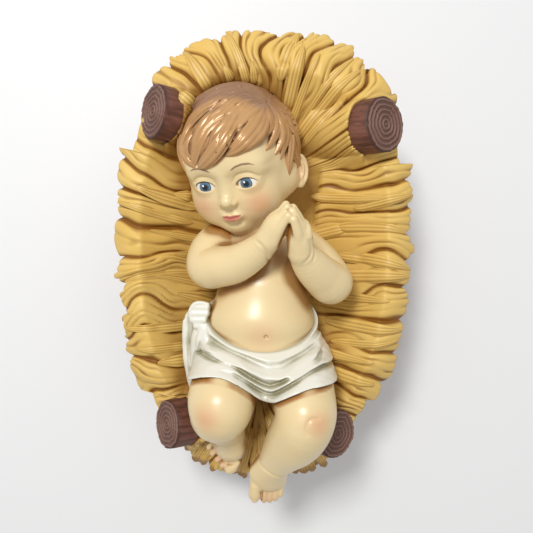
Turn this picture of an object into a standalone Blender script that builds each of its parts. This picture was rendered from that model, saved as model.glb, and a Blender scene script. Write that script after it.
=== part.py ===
# Infant figurine lying in a straw manger on crossed logs.
# Metres, +Z up. The head lies towards +Y and the feet towards -Y. The origin is on the ground, under the
# middle of the whole figurine.

import math
import random

import bmesh
import bpy
from mathutils import Matrix, Vector

# Driving dimensions of the manger
STRAW_LENGTH = 0.307
STRAW_WIDTH = 0.204
STRAW_TURN = 2.2
OUTLINE_POWER = 2.45
HEAD_RIM_HEIGHT = 0.130
SIDE_RIM_HEIGHT = 0.111
FOOT_RIM_HEIGHT = 0.088
HOLLOW_HEIGHT = 0.064
PILLOW_HEIGHT = 0.024
BED_THICKNESS = 0.016
BRIM_THICKNESS = 0.008
BRIM_DROOP = 0.012
BUNDLE_COUNT = 44
BUNDLE_RELIEF = 0.0045
CREST_SHARE = 0.80

# The straw's outline stands a little towards the head from the middle of the two log pairs
STRAW_MIDDLE = (0.0015, 0.010)

# The crossed logs: each pair stands across the bed, one near the head and one near the feet
LOG_PAIR_SPACING = 0.202
HEAD_LOG_DIAMETER = 0.035
FOOT_LOG_DIAMETER = 0.0325
HEAD_LOG_SPREAD = 0.1477
FOOT_LOG_SPREAD = 0.1148
HEAD_LOG_HEIGHT = 0.133
FOOT_LOG_HEIGHT = 0.111
LOG_LEAN = 46.0
LEFT_CUT_LEAN = 53.0
RIGHT_CUT_LEAN = 39.0
BARE_BARK = 0.0125
STRAW_HEAP_REACH = 0.008
STRAW_HEAP_RISE = 0.006
RING_DEPTH = 0.0012
BARK_DEPTH = 0.0008

# Driving dimensions of the infant
INFANT_LENGTH = 0.281
SEAT_GAP = 0.0004

# How finely each casting is modelled
INFANT_VOXEL = 0.0015
INFANT_TRIANGLES = 4400
LOG_SIDES = 14

# The pose below is written in units of the infant's length divided by 281, which are millimetres at its
# real size. Its zero height is the floor of the hollow under the hips.
POSE_LENGTH = 281
POSE_FLOOR = 64
UNIT = INFANT_LENGTH / POSE_LENGTH

CRANIUM = (-19.8, 80.5, 121)
HEAD_ROLL, HEAD_PITCH, HEAD_YAW = 14, 24, -19


def clear_scene():
    for obj in list(bpy.data.objects):
        bpy.data.objects.remove(obj, do_unlink=True)


def painted(name, colour, roughness):
    material = bpy.data.materials.new(name)
    material.use_nodes = True
    shader = material.node_tree.nodes["Principled BSDF"]
    shader.inputs["Base Color"].default_value = (*colour, 1)
    shader.inputs["Roughness"].default_value = roughness
    shader.inputs["Metallic"].default_value = 0
    material.diffuse_color = (*colour, 1)
    return material


def smooth_path(knots, steps):
    # A Catmull-Rom curve through knots of any width, such as (x, y, z, radius)
    ends = [knots[0], *knots, knots[-1]]
    path = []
    for before, start, stop, after in zip(ends, ends[1:], ends[2:], ends[3:]):
        for step in range(steps):
            t = step / steps
            point = []
            for a, b, c, d in zip(before, start, stop, after):
                slope, bend, twist = c - a, 2 * a - 5 * b + 4 * c - d, 3 * b - a - 3 * c + d
                point.append(b + 0.5 * (slope * t + bend * t**2 + twist * t**3))
            path.append(tuple(point))
    return [*path, knots[-1]]


def ball(bm, centre, radii, turn=None, detail=3):
    # An ellipsoid
    turn = turn.to_4x4() if turn else Matrix()
    place = Matrix.Translation(centre) @ turn @ Matrix.Diagonal((*radii, 1))
    bmesh.ops.create_icosphere(bm, subdivisions=detail, radius=1, matrix=place)


def limb(bm, knots, steps=4, sides=14, flatness=1.0):
    # A round-ended tapering tube along a smooth path of (x, y, z, radius); flatness squashes its height
    path = smooth_path(knots, steps) if len(knots) > 2 else knots
    points = [Vector(p[:3]) for p in path]
    tangents = []
    for index in range(len(points)):
        after, before = points[min(index + 1, len(points) - 1)], points[max(index - 1, 0)]
        tangents.append((after - before).normalized())
    rings = []
    cap = [math.radians(a) for a in (72, 48, 24)]
    for index, (point, tangent) in enumerate(zip(points, tangents)):
        radius = path[index][3]
        if index == 0:
            rings += [(point - tangent * radius * math.sin(a), tangent, radius * math.cos(a)) for a in cap]
        rings.append((point, tangent, radius))
        if index == len(points) - 1:
            for a in reversed(cap):
                rings.append((point + tangent * radius * math.sin(a), tangent, radius * math.cos(a)))
    side = None
    loops = []
    for point, tangent, radius in rings:
        if side is None:
            side = tangent.cross(Vector((0, 0, 1)))
            if side.length < 0.05:
                side = tangent.cross(Vector((0, 1, 0.3)))
        side = (side - tangent * side.dot(tangent)).normalized()
        over = side.cross(tangent)
        loop = []
        for k in range(sides):
            a = 2 * math.pi * k / sides
            spot = side * radius * math.cos(a) + over * radius * flatness * math.sin(a)
            loop.append(bm.verts.new(point + spot))
        loops.append(loop)
    for near, far in zip(loops, loops[1:]):
        for k in range(sides):
            n = (k + 1) % sides
            bm.faces.new((near[n], near[k], far[k], far[n]))
    bm.faces.new(loops[0])
    bm.faces.new(list(reversed(loops[-1])))


def scaled(knots):
    return [tuple(UNIT * value for value in knot) for knot in knots]


def mesh_object(name, bm, material):
    mesh = bpy.data.meshes.new(name)
    bm.to_mesh(mesh)
    bm.free()
    mesh.materials.append(material)
    obj = bpy.data.objects.new(name, mesh)
    bpy.context.scene.collection.objects.link(obj)
    return obj


def triangle_count(obj):
    graph = bpy.context.evaluated_depsgraph_get()
    mesh = obj.evaluated_get(graph).to_mesh()
    mesh.calc_loop_triangles()
    return len(mesh.loop_triangles)


def cast(obj, voxel, smoothing, triangles):
    # Fuses the overlapping lumps of a clay model into one skin, softens it and thins it out
    remesh = obj.modifiers.new("one skin", "REMESH")
    remesh.mode = "VOXEL"
    remesh.voxel_size = voxel
    soften = obj.modifiers.new("soften", "SMOOTH")
    soften.factor = 0.5
    soften.iterations = smoothing
    apply_modifiers(obj)
    thin = obj.modifiers.new("thin out", "DECIMATE")
    thin.ratio = triangles / triangle_count(obj)
    apply_modifiers(obj)


def apply_modifiers(obj):
    graph = bpy.context.evaluated_depsgraph_get()
    made = bpy.data.meshes.new_from_object(obj.evaluated_get(graph))
    obj.modifiers.clear()
    old, obj.data = obj.data, made
    bpy.data.meshes.remove(old)


def combine(obj, other, operation):
    boolean = obj.modifiers.new(f"{operation.lower()} {other.name}", "BOOLEAN")
    boolean.operation = operation
    boolean.solver = "EXACT"
    boolean.object = other
    other.hide_render = True
    other.display_type = "WIRE"


# The infant


def head_turn():
    roll = Matrix.Rotation(math.radians(HEAD_ROLL), 3, "Z")
    pitch = Matrix.Rotation(math.radians(HEAD_PITCH), 3, "X")
    yaw = Matrix.Rotation(math.radians(HEAD_YAW), 3, "Y")
    return roll @ pitch @ yaw


def on_head(right, up, front):
    # A point of the head, from the cranium's centre: to the figure's left, to its crown and to its face
    return (Vector(CRANIUM) + head_turn() @ Vector((right, up, front))) * UNIT


def add_head(bm):
    turn = head_turn()

    def lump(right, up, front, *radii):
        ball(bm, on_head(right, up, front), [UNIT * r for r in radii], turn)

    lump(0, 0, -2, 35, 36, 36.5)
    lump(0, -13, 7, 30, 27, 27)
    lump(0, -27, 12, 25, 22, 20.5)
    lump(0, 4, 25, 22, 15, 9)
    for side in (-1, 1):
        lump(side * 15, -26, 15.5, 13, 13.5, 13.5)
        lump(side * 13.4, -12, 24, 9, 8, 9)
    lump(0, -41, 20, 9, 7.5, 8.5)
    lump(0, -17, 32, 3.5, 8, 4)
    lump(0, -21.5, 35.5, 4.6, 3.6, 4)
    lump(0, -32, 33, 6.5, 3.4, 3.4)
    for side in (-1, 1):
        # The ear is a shell whose back edge stands off the head
        back = Vector((side * 0.56, -0.05, -0.83)).normalized()
        up = Vector((0, 0.98, -0.18)).normalized()
        shell = Matrix((back, up, back.cross(up))).transposed()
        ball(bm, on_head(side * 37, -17.5, -5.5), [UNIT * r for r in (7, 10.3, 2.8)], turn @ shell)


LOCK_PROUD = 1.6
HAIR_LOCKS = [
    # Each lock lies on the head as (left, up, front) knots from its root to its tip, then its half width
    ((23, 31, 2), (3, 36, 12), (-17, 28, 16), (-31, 11, 15), (-33, 0, 14), 6),
    ((24, 30, -3), (-2, 38, -7), (-29, 22, 3), (-34, 8, 5), (-34, -6, 6), 7),
    ((-23, 29, 8), (-32, 9, 14), (-25, -6, 27), 4),
    ((22, 31, 5), (4, 34, 15), (-15, 27, 19), 3),
    ((24, 29, 7), (12, 29, 19), (-5, 24, 29), (-15, 8, 35), 7.6),
    ((24, 29, 6), (13, 31, 15), (-7, 29, 21), 3),
    ((23, 28, 11), (9, 23, 27), (3, 18, 32), (-11, 7, 36), 5.2),
    ((14, 25, 22), (4, 14, 34), (-9, 3, 37), 5),
    ((24, 28, 8), (17, 24, 22), (7, 15, 33), 4.6),
    ((-18, 26, 18), (-24, 12, 28), (-15, 0, 36), 3),
    ((25, 27, 7), (24, 23, 15), (17, 14, 29), (1, 7, 37), 6),
    ((26, 26, 7), (29, 16, 16), (26, 10, 26), 3),
    ((28, 27, -3), (36, 4, 1), (33, -17, 8), 4.4),
    ((25, 29, -8), (37, 5, -9), (37, -10, -2), 4.8),
    ((28, 27, 0), (35, 6, 8), (32, -6, 15), 4),
    ((27, 27, 3), (34, 7, 11), (30, -1, 19), 3.5),
    ((27, 27, 5), (31, 11, 15), (27, 4, 26), 3.2),
]


def add_hair(bm):
    turn = head_turn()
    ball(bm, on_head(0, 3, -5), [UNIT * r for r in (36.8, 36.3, 36.3)], turn)
    ball(bm, on_head(0, -14, -16), [UNIT * r for r in (33, 25, 23)], turn)
    for *points, width in HAIR_LOCKS:
        knots = []
        for index, point in enumerate(points):
            share = index / (len(points) - 1)
            radius = width * (0.42 + 0.6 * math.sin(math.pi * (0.1 + 0.72 * share)) - 0.5 * share**4)
            sunk = Vector(point) - Vector(point).normalized() * (radius - LOCK_PROUD)
            knots.append((*on_head(*sunk), UNIT * radius))
        limb(bm, knots, steps=4, sides=10)


def add_body(bm):
    for centre, radii in (
        ((2, 14, 99), (29, 23, 25)),
        ((2.2, -8, 100), (31, 27, 28)),
        ((1.8, -29, 100.5), (36, 24.5, 30.5)),
        ((4, -56, 97), (39, 26, 30)),
    ):
        ball(bm, Vector(centre) * UNIT, Vector(radii) * UNIT)
    limb(bm, scaled([(-2, 20, 102, 18), (-12, 44, 110, 18)]))


ARMS = {
    # Knots of (x, y, z, radius) from the shoulder by the elbow to the wrist
    "right": [
        (-27, 24, 104, 14),
        (-34.8, 16, 110, 13.2),
        (-34.8, 5.5, 117, 13.8),
        (-26.4, 5.8, 124, 13.2),
        (-15.3, 8.6, 131, 12),
        (-4.7, 15.4, 139, 10),
        (3.9, 23.6, 147, 7.6),
    ],
    "left": [
        (26, 22, 104, 14),
        (38, 13.5, 110, 12.8),
        (46, 0, 117, 14.4),
        (39.1, 3.5, 126, 13),
        (31, 10.1, 135, 11.3),
        (23.8, 18, 144, 8),
    ],
}
PALMS = {
    "right": [(3.9, 23.6, 148, 7.2), (7.5, 31, 152, 6.4), (9.8, 35.5, 155, 5)],
    "left": [(23.8, 18, 146, 8), (22.4, 25, 150, 7.6), (20.8, 32, 154, 6)],
}
FINGERS = {
    # Where each finger starts and ends, from the one nearest the chest to the little one
    "right": [
        ((7, 32, 149), (12, 41, 153)),
        ((7.4, 33, 153), (12.8, 44.6, 157)),
        ((8.6, 32.5, 156.8), (13.3, 43.4, 161)),
        ((10.4, 30.8, 160), (13.9, 38.6, 164)),
    ],
    "left": [
        ((24.5, 32, 150), (18.2, 41, 153)),
        ((23.6, 33.5, 153.5), (16.8, 43.4, 157)),
        ((21.6, 33.4, 157), (16.5, 41.6, 161)),
        ((19.4, 31.2, 160), (17.2, 37.4, 163.6)),
    ],
}
FINGER_ROOT, FINGER_TIP = 3.1, 2.4
THUMBS = {
    "right": [(3.5, 32, 147, 3.4), (8, 39, 148, 3)],
    "left": [(25, 34, 154, 2.6), (26, 27, 154, 2.8)],
}


def add_arms(bm):
    for side, knots in ARMS.items():
        limb(bm, scaled(knots))
        limb(bm, scaled(PALMS[side]), steps=2, sides=10)
        limb(bm, scaled(THUMBS[side]), sides=8)
        for start, end in FINGERS[side]:
            limb(bm, scaled([(*start, FINGER_ROOT), (*end, FINGER_TIP)]), sides=8)


LEGS = {
    # Knots from the hip by the knee to the ankle
    "right": [
        (-15, -58, 97, 23),
        (-20, -76, 123, 22),
        (-20.7, -84.5, 131, 19.4),
        (-23.3, -92.5, 121, 15.3),
        (-15.5, -103.5, 112, 10.8),
        (-13, -113, 106, 9.5),
    ],
    "left": [
        (26, -58, 97, 24),
        (32, -76, 124, 20.5),
        (33, -86, 134, 19),
        (29, -99, 126, 18.6),
        (21.5, -112, 117, 14.4),
        (15.6, -123, 110, 11),
    ],
}
FEET = {
    # The middle of the foot, where its toes point, the way to its big toe, and its half sizes
    "right": ((-13.5, -114.5, 103), (-0.64, -0.76, -0.12), (0.766, -0.643, 0), (10.5, 10, 8)),
    "left": ((12.5, -131, 105), (0.02, -0.94, -0.34), (-1, -0.02, 0), (13, 12, 9)),
}
TOES = {
    # From the big toe outwards
    "right": [
        (-13.2, -130.4, 100.5),
        (-18.6, -129, 100),
        (-22.4, -125.4, 100),
        (-26, -121.4, 100),
        (-28.7, -117.4, 100),
    ],
    "left": [
        (4, -147.8, 101.5),
        (10.6, -151.2, 99),
        (14.5, -151.2, 98.5),
        (18.2, -150, 98.5),
        (21.7, -147.2, 99),
    ],
}
BIG_TOE_RADIUS, TOE_RADIUS, TOE_TAPER, TOE_LENGTH = 4.3, 2.75, 0.12, 9


def add_legs(bm):
    for side, knots in LEGS.items():
        limb(bm, scaled(knots), sides=18)
        middle, ahead, inward, sizes = FEET[side]
        middle, ahead, inward = Vector(middle), Vector(ahead).normalized(), Vector(inward)
        inward = (inward - ahead * inward.dot(ahead)).normalized()
        top = inward.cross(ahead)
        top *= math.copysign(1, top.z)
        turn = Matrix((inward, ahead, top)).transposed()
        ball(bm, middle * UNIT, [UNIT * r for r in sizes], turn)
        sole = middle + ahead * sizes[1] * 0.6 - top * 2
        ball(bm, sole * UNIT, [UNIT * r for r in (sizes[0] * 0.92, sizes[1] * 0.6, 6)], turn)
        for index, toe in enumerate(TOES[side]):
            radius = TOE_RADIUS - TOE_TAPER * index if index else BIG_TOE_RADIUS
            root = Vector(toe) - ahead * TOE_LENGTH + top * 2
            limb(bm, scaled([(*root, radius), (*toe, radius)]), sides=8)


CLOTH_FOLDS = [
    # Rolls of cloth across the front, as knots of (x, y, z, radius): the waist, the main fold, the one
    # below it and the hem
    [
        (-40, -30, 86, 4.5),
        (-37, -35, 100, 4.5),
        (-26, -42, 113, 4.5),
        (3.7, -50, 126, 4.5),
        (26, -47, 120, 4.5),
        (38, -41, 106, 4.5),
        (43, -33, 88, 4.5),
    ],
    [
        (-43, -46, 90, 5),
        (-37, -48, 107, 5),
        (-19, -52, 127, 4.5),
        (6, -61.5, 130, 4.5),
        (23, -57.5, 131, 4.5),
        (38, -47, 116, 5),
        (47, -42, 92, 5),
    ],
    [
        (-45, -56, 96, 4.5),
        (-38, -57, 116, 4.5),
        (-18, -57, 133, 4),
        (8, -70, 130, 4),
        (28, -60, 134, 4),
        (44, -53, 122, 4.5),
        (52, -52, 96, 4.5),
    ],
    [
        (-45, -66, 96, 4),
        (-41, -64, 117, 4),
        (-24, -60, 136, 4),
        (-9, -64, 136, 4),
        (8, -75, 126, 4),
        (22, -68, 137, 4),
        (40, -62, 135, 4),
        (52, -61, 116, 4),
        (54, -60, 98, 4),
    ],
]
CLOTH_TAIL = [
    # The knot at the right hip: its flat loop towards the chest, and its end hanging towards the knee
    [(-39, -25.5, 108, 6.5), (-40.8, -30.5, 108, 6.5)],
    [(-36, -33, 106, 5), (-40, -42, 105, 5), (-42, -60, 100, 5)],
    [
        (-46.3, -30, 100, 5.2),
        (-46.2, -41, 100, 5.4),
        (-45.8, -52, 99, 5.2),
        (-44.6, -66, 97.5, 4.6),
        (-44.4, -78, 95, 2),
    ],
]


def add_cloth(bm):
    ball(bm, Vector((4, -54, 98)) * UNIT, Vector((42, 23, 32)) * UNIT)
    ball(bm, Vector((9, -64, 122)) * UNIT, Vector((23, 13, 10.5)) * UNIT)
    for knots in CLOTH_FOLDS:
        limb(bm, scaled(knots), sides=12)
    for knots in CLOTH_TAIL:
        limb(bm, scaled(knots), sides=10, flatness=0.62)


def make_infant():
    bm = bmesh.new()
    add_head(bm)
    add_hair(bm)
    add_body(bm)
    add_arms(bm)
    add_legs(bm)
    add_cloth(bm)
    infant = mesh_object("infant", bm, painted("painted skin", (0.91, 0.73, 0.48), 0.35))
    cast(infant, INFANT_VOXEL, 2, INFANT_TRIANGLES)
    infant.data.shade_smooth()
    infant.location.z = HOLLOW_HEIGHT - POSE_FLOOR * UNIT
    return infant


# The manger


def ease(t):
    t = min(1.0, max(0.0, t))
    return t * t * (3 - 2 * t)


def straw_share(x, y):
    # Shares of the half width and the half length, in the straw's own slightly turned frame
    spot = Vector((x, y)) - Vector(STRAW_MIDDLE)
    spot.rotate(Matrix.Rotation(-math.radians(STRAW_TURN), 2))
    return spot.x / (STRAW_WIDTH / 2), spot.y / (STRAW_LENGTH / 2)


def swell(along):
    # The outline is egg shaped, broader at the head
    return 1 + 0.075 * along


def outline(turn):
    # A point of the straw's outline seen from above, at a share of the way round it
    angle = 2 * math.pi * turn
    c, s = math.cos(angle), math.sin(angle)
    share = abs(c / STRAW_WIDTH) ** OUTLINE_POWER + abs(s / STRAW_LENGTH) ** OUTLINE_POWER
    size = share ** (-1 / OUTLINE_POWER)
    spot = Vector((c, s)) * size / 2
    spot.x *= swell(spot.y / (STRAW_LENGTH / 2))
    spot.rotate(Matrix.Rotation(math.radians(STRAW_TURN), 2))
    return spot + Vector(STRAW_MIDDLE)


def even_turns(count):
    # Shares of the way round the outline that are the same distance apart
    fine = [outline(k / 720) for k in range(721)]
    reached = [0]
    for near, far in zip(fine, fine[1:]):
        reached.append(reached[-1] + (far - near).length)
    turns, k = [], 0
    for index in range(count):
        while reached[k + 1] < reached[-1] * index / count:
            k += 1
        turns.append(k / 720)
    return turns


def reach(x, y):
    # 0 at the middle of the bed, 1 on its outline
    across, along = straw_share(x, y)
    across /= swell(along)
    return (abs(across) ** OUTLINE_POWER + abs(along) ** OUTLINE_POWER) ** (1 / OUTLINE_POWER)


def rim_height(x, y):
    along = straw_share(x, y)[1]
    if along > 0:
        return SIDE_RIM_HEIGHT + (HEAD_RIM_HEIGHT - SIDE_RIM_HEIGHT) * ease(along)
    return SIDE_RIM_HEIGHT + (FOOT_RIM_HEIGHT - SIDE_RIM_HEIGHT) * ease(-along * 1.15 - 0.15)


def floor_height(y):
    return HOLLOW_HEIGHT + PILLOW_HEIGHT * ease((y / STRAW_LENGTH + 0.05) * 3)


def top_height(x, y):
    # The bed's upper side: a hollow, a crest and a brim that droops, heaped up where the logs run through it
    r = reach(x, y)
    rim = rim_height(x, y)
    height = rim - BRIM_DROOP * min(1.5, max(0, (r - CREST_SHARE) / (1 - CREST_SHARE)) ** 2)
    if r < CREST_SHARE:
        height = floor_height(y) + (rim - floor_height(y)) * (r / CREST_SHARE) ** 2.3
    for _, top, way, diameter in log_ends():
        aside = abs(y - top.y)
        rise = math.sqrt(max(0, (diameter / 2) ** 2 - aside**2))
        inward = abs(top.x) - x * math.copysign(1, top.x)
        buried = (inward - rise * way.z) / abs(way.x)
        if inward < abs(top.x):
            cover = top.z - (inward * way.z - rise) / abs(way.x) + BUNDLE_RELIEF / 2
            blend = ease((buried - BARE_BARK) / STRAW_HEAP_RISE)
            blend *= ease(1 - (aside - diameter / 2) / STRAW_HEAP_REACH)
            height = max(height, height + (cover - height) * blend)
    return height


def under_height(x, y):
    r = min(1.0, reach(x, y))
    keel = floor_height(y) - BED_THICKNESS
    brim = rim_height(x, y) - BRIM_DROOP - BRIM_THICKNESS
    return keel + (brim - keel) * r**2.6


def log_ends():
    # For each log: its name, the middle of its upper end, the way it points there, and its diameter
    ends = []
    for pair, y, spread, height, diameter in (
        ("head", LOG_PAIR_SPACING / 2, HEAD_LOG_SPREAD, HEAD_LOG_HEIGHT, HEAD_LOG_DIAMETER),
        ("foot", -LOG_PAIR_SPACING / 2, FOOT_LOG_SPREAD, FOOT_LOG_HEIGHT, FOOT_LOG_DIAMETER),
    ):
        for side, sign in (("left", -1), ("right", 1)):
            way = Vector((sign * math.sin(math.radians(LOG_LEAN)), 0, math.cos(math.radians(LOG_LEAN))))
            ends.append((f"{pair} {side}", Vector((sign * spread / 2, y, height)), way, diameter))
    return ends


def near_log(tip):
    return any(
        abs(tip.y - top.y) < diameter * 0.55 and tip.x * top.x > 0 and abs(tip.x) > abs(top.x) * 0.8
        for _, top, _, diameter in log_ends()
    )


def straw_path(turn, t):
    # A bundle leads from the spine of the bed to the outline; t is the share of that way
    tip = outline(turn)
    spine = (-0.25 * STRAW_LENGTH, 0.22 * STRAW_LENGTH)
    root = Vector((STRAW_MIDDLE[0], min(spine[1], max(spine[0], tip.y * 0.85))))
    bend = 0.07 * math.sin(2 * math.pi * 5 * turn + 1) + 0.03 * math.sin(2 * math.pi * 13 * turn)
    way = tip - root
    aside = Vector((-way.y, way.x))
    return root + way * t + aside * bend * math.sin(math.pi * t) * t


def bundle_ribs():
    # Round the bed, four ribs to a bundle: the groove beside it, its two flanks and its crown. For each
    # rib: its turn, its height as a share of the relief, and how far out it reaches
    chance = random.Random(11)
    turns = even_turns(BUNDLE_COUNT * 4)
    ribs = []
    for bundle in range(BUNDLE_COUNT):
        extent = chance.uniform(0.96, 1.0)
        lift = chance.uniform(-0.3, 0.35)
        for rib, (rise, short) in enumerate(((-0.5, 0.035), (0.45, 0.008), (0.6, 0.0), (0.4, 0.012))):
            turn = turns[bundle * 4 + rib]
            extent_here = min(0.92, extent) if near_log(outline(turn)) else extent
            ribs.append((turn, rise + lift + chance.uniform(-0.2, 0.2) * (rib > 0), extent_here - short))
    return ribs


def make_bed(material):
    # The heap of straw, its top ribbed by the bundles and its hidden underside plain
    bm = bmesh.new()
    ribs = bundle_ribs()
    loops = []
    for t, skip in ((0.12, 8), (0.36, 2), (0.49, 1), (0.61, 1), (0.72, 1), (0.83, 1), (0.92, 1), (1.0, 1)):
        loop = []
        for turn, rise, extent in ribs[::skip]:
            spot = straw_path(turn, t * (1 - (1 - extent) * ease(t)))
            relief = BUNDLE_RELIEF * rise * ease((t - 0.36) / 0.3)
            loop.append(bm.verts.new((*spot, top_height(*spot) + relief)))
        loops.append(loop)
    for t, skip in ((0.96, 1), (0.80, 2), (0.56, 4), (0.25, 8)):
        loop = []
        for turn, _, extent in ribs[::skip]:
            spot = straw_path(turn, t * extent)
            loop.append(bm.verts.new((*spot, under_height(*spot))))
        loops.append(loop)
    for inner, outer in zip(loops, loops[1:]):
        # Where one loop has fewer points, each of its edges meets several of the other's
        few, many = (inner, outer) if len(inner) < len(outer) else (outer, inner)
        step = len(many) // len(few)
        for k in range(len(few)):
            n = (k + 1) % len(few)
            fan = [many[(k * step + i) % len(many)] for i in range(step + 1)]
            bm.faces.new((*fan, few[n], few[k]))
    bm.faces.new(loops[0])
    bm.faces.new(loops[-1])
    bmesh.ops.triangulate(bm, faces=bm.faces)
    bmesh.ops.recalc_face_normals(bm, faces=bm.faces)
    return mesh_object("manger", bm, material)


def make_log(name, top, way, diameter, material):
    # A log whose ringed upper end is sawn a little off square; its lower end runs below the ground
    chance = random.Random(name)
    bm = bmesh.new()
    length = top.z / way.z + diameter
    sign = math.copysign(1, top.x)
    cut = math.radians(LEFT_CUT_LEAN if sign < 0 else RIGHT_CUT_LEAN)
    facing = Vector((sign * math.sin(cut), 0, math.cos(cut)))
    side = Vector((0, 1, 0))
    across = side.cross(way)
    profile = [(0.26, RING_DEPTH), (0.48, 0), (0.70, RING_DEPTH), (0.88, 0), (1.0, RING_DEPTH)]
    rings = [(share * diameter / 2, depth, 0, facing) for share, depth in profile]
    rings += [(diameter / 2, length * step / 5, BARK_DEPTH, way) for step in range(1, 5)]
    rings.append((diameter / 2, length, 0, way))
    loops = []
    for radius, depth, rough, plane in rings:
        loop = []
        for k in range(LOG_SIDES):
            a = 2 * math.pi * k / LOG_SIDES
            out = radius - rough * chance.uniform(0, 1)
            spot = side * out * math.cos(a) + across * out * math.sin(a)
            spot -= way * (depth + spot.dot(plane)) / way.dot(plane)
            loop.append(bm.verts.new(top + spot))
        loops.append(loop)
    pole = bm.verts.new(top)
    for k in range(LOG_SIDES):
        n = (k + 1) % LOG_SIDES
        bm.faces.new((pole, loops[0][k], loops[0][n]))
        for near, far in zip(loops, loops[1:]):
            bm.faces.new((near[k], far[k], far[n], near[n]))
    bm.faces.new(list(reversed(loops[-1])))
    bmesh.ops.recalc_face_normals(bm, faces=bm.faces)
    return mesh_object(f"log {name}", bm, material)


def inflated(obj, gap):
    # A copy that stands proud of the object by the gap all over
    copy = bpy.data.objects.new(f"{obj.name} with room", obj.data.copy())
    copy.location = obj.location
    bpy.context.scene.collection.objects.link(copy)
    swell = copy.modifiers.new("room", "DISPLACE")
    swell.mid_level = 0
    swell.strength = gap
    return copy


def ground_block():
    bm = bmesh.new()
    bmesh.ops.create_cube(bm, size=1)
    bmesh.ops.scale(bm, vec=(1, 1, 0.2), verts=bm.verts)
    bmesh.ops.translate(bm, vec=(0, 0, -0.1), verts=bm.verts)
    return mesh_object("ground", bm, painted("ground", (0.5, 0.5, 0.5), 0.9))


def make_manger(infant):
    straw = painted("painted straw", (0.72, 0.45, 0.12), 0.45)
    bark = painted("painted bark", (0.24, 0.13, 0.10), 0.6)
    manger = make_bed(straw)
    for name, top, way, diameter in log_ends():
        combine(manger, make_log(name, top, way, diameter, bark), "UNION")
    combine(manger, ground_block(), "DIFFERENCE")
    combine(manger, inflated(infant, SEAT_GAP), "DIFFERENCE")
    manger.data.shade_smooth()
    return manger


def centre_on_origin(objects):
    # Moves the pieces together so that the origin lies under the middle of their common box
    bpy.context.view_layer.update()
    graph = bpy.context.evaluated_depsgraph_get()
    corners = [
        obj.evaluated_get(graph).matrix_world @ Vector(corner)
        for obj in objects
        for corner in obj.evaluated_get(graph).bound_box
    ]
    figurine = bpy.data.objects.new("figurine", None)
    bpy.context.scene.collection.objects.link(figurine)
    for axis in (0, 1):
        values = [corner[axis] for corner in corners]
        figurine.location[axis] = -(min(values) + max(values)) / 2
    for obj in bpy.context.scene.objects:
        if obj is not figurine:
            obj.parent = figurine


def main():
    clear_scene()
    infant = make_infant()
    manger = make_manger(infant)
    centre_on_origin([infant, manger])


main()
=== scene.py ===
import math
import random
import time

import bpy
import numpy as np
from mathutils import Matrix, Vector, kdtree


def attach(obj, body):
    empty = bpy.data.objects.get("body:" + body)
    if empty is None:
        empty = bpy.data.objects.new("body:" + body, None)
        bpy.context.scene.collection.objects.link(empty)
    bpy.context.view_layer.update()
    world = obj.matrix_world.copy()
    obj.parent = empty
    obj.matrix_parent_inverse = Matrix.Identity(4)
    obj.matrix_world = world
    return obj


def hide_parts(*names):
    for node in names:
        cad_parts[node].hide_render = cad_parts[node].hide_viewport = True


started = time.time()
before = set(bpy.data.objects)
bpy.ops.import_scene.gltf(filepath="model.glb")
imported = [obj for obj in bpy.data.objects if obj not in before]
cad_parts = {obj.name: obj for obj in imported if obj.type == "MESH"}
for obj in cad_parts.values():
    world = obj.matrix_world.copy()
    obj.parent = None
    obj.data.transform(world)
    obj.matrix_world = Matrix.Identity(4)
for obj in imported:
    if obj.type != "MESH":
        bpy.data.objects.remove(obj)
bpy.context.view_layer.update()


def report(stage):
    print(f"{time.time() - started:6.1f} s  {stage}")


# The pose is laid out in millimetres, in the carver's own frame: y towards the head, z up from the table.
# The feet of the crossed logs say where that frame stands in the CAD model.
logs = {
    "headY": 101, "footY": -101, "headSpread": 147.7, "footSpread": 114.8, "headHeight": 133,
    "footHeight": 111, "headDiameter": 35, "footDiameter": 32.5, "lean": 46, "leftCut": 53, "rightCut": 39,
}


def carverOrigin():
    points = [v.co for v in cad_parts["manger"].data.vertices if v.co.z < 0.0002]
    xs, ys = [p.x for p in points], [p.y for p in points]
    middleY = (logs["headY"] + logs["headDiameter"] / 2 + logs["footY"] - logs["footDiameter"] / 2) / 2
    return np.array([(min(xs) + max(xs)) * 500, (min(ys) + max(ys)) * 500 - middleY, 0.0])


origin = carverOrigin()
print("carver's frame stands at", origin.round(2), "mm")


def toMetres(points):
    return (points + origin) / 1000


# Clay: a box of distances to the surface, into which lumps are pressed and smoothed


def ease(t):
    t = np.clip(t, 0, 1)
    return t * t * (3 - 2 * t)


def unit(vector):
    vector = np.array(vector, float)
    return vector / max(np.linalg.norm(vector), 1e-9)


def clay(low, high, voxel):
    counts = [int(math.ceil((h - l) / voxel)) + 1 for l, h in zip(low, high)]
    return {"low": np.array(low, float), "voxel": voxel, "field": np.full(counts, 30.0, np.float32)}


def window(block, low, high):
    # The part of the block between two corners: its slices and its coordinates
    slices, axes = [], []
    for axis in range(3):
        first = max(0, int((low[axis] - block["low"][axis]) / block["voxel"]))
        last = min(block["field"].shape[axis], int((high[axis] - block["low"][axis]) / block["voxel"]) + 2)
        slices.append(slice(first, max(first, last)))
        shape = [1, 1, 1]
        shape[axis] = -1
        line = block["low"][axis] + block["voxel"] * np.arange(first, max(first, last))
        axes.append(line.astype(np.float32).reshape(shape))
    return tuple(slices), axes


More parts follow.
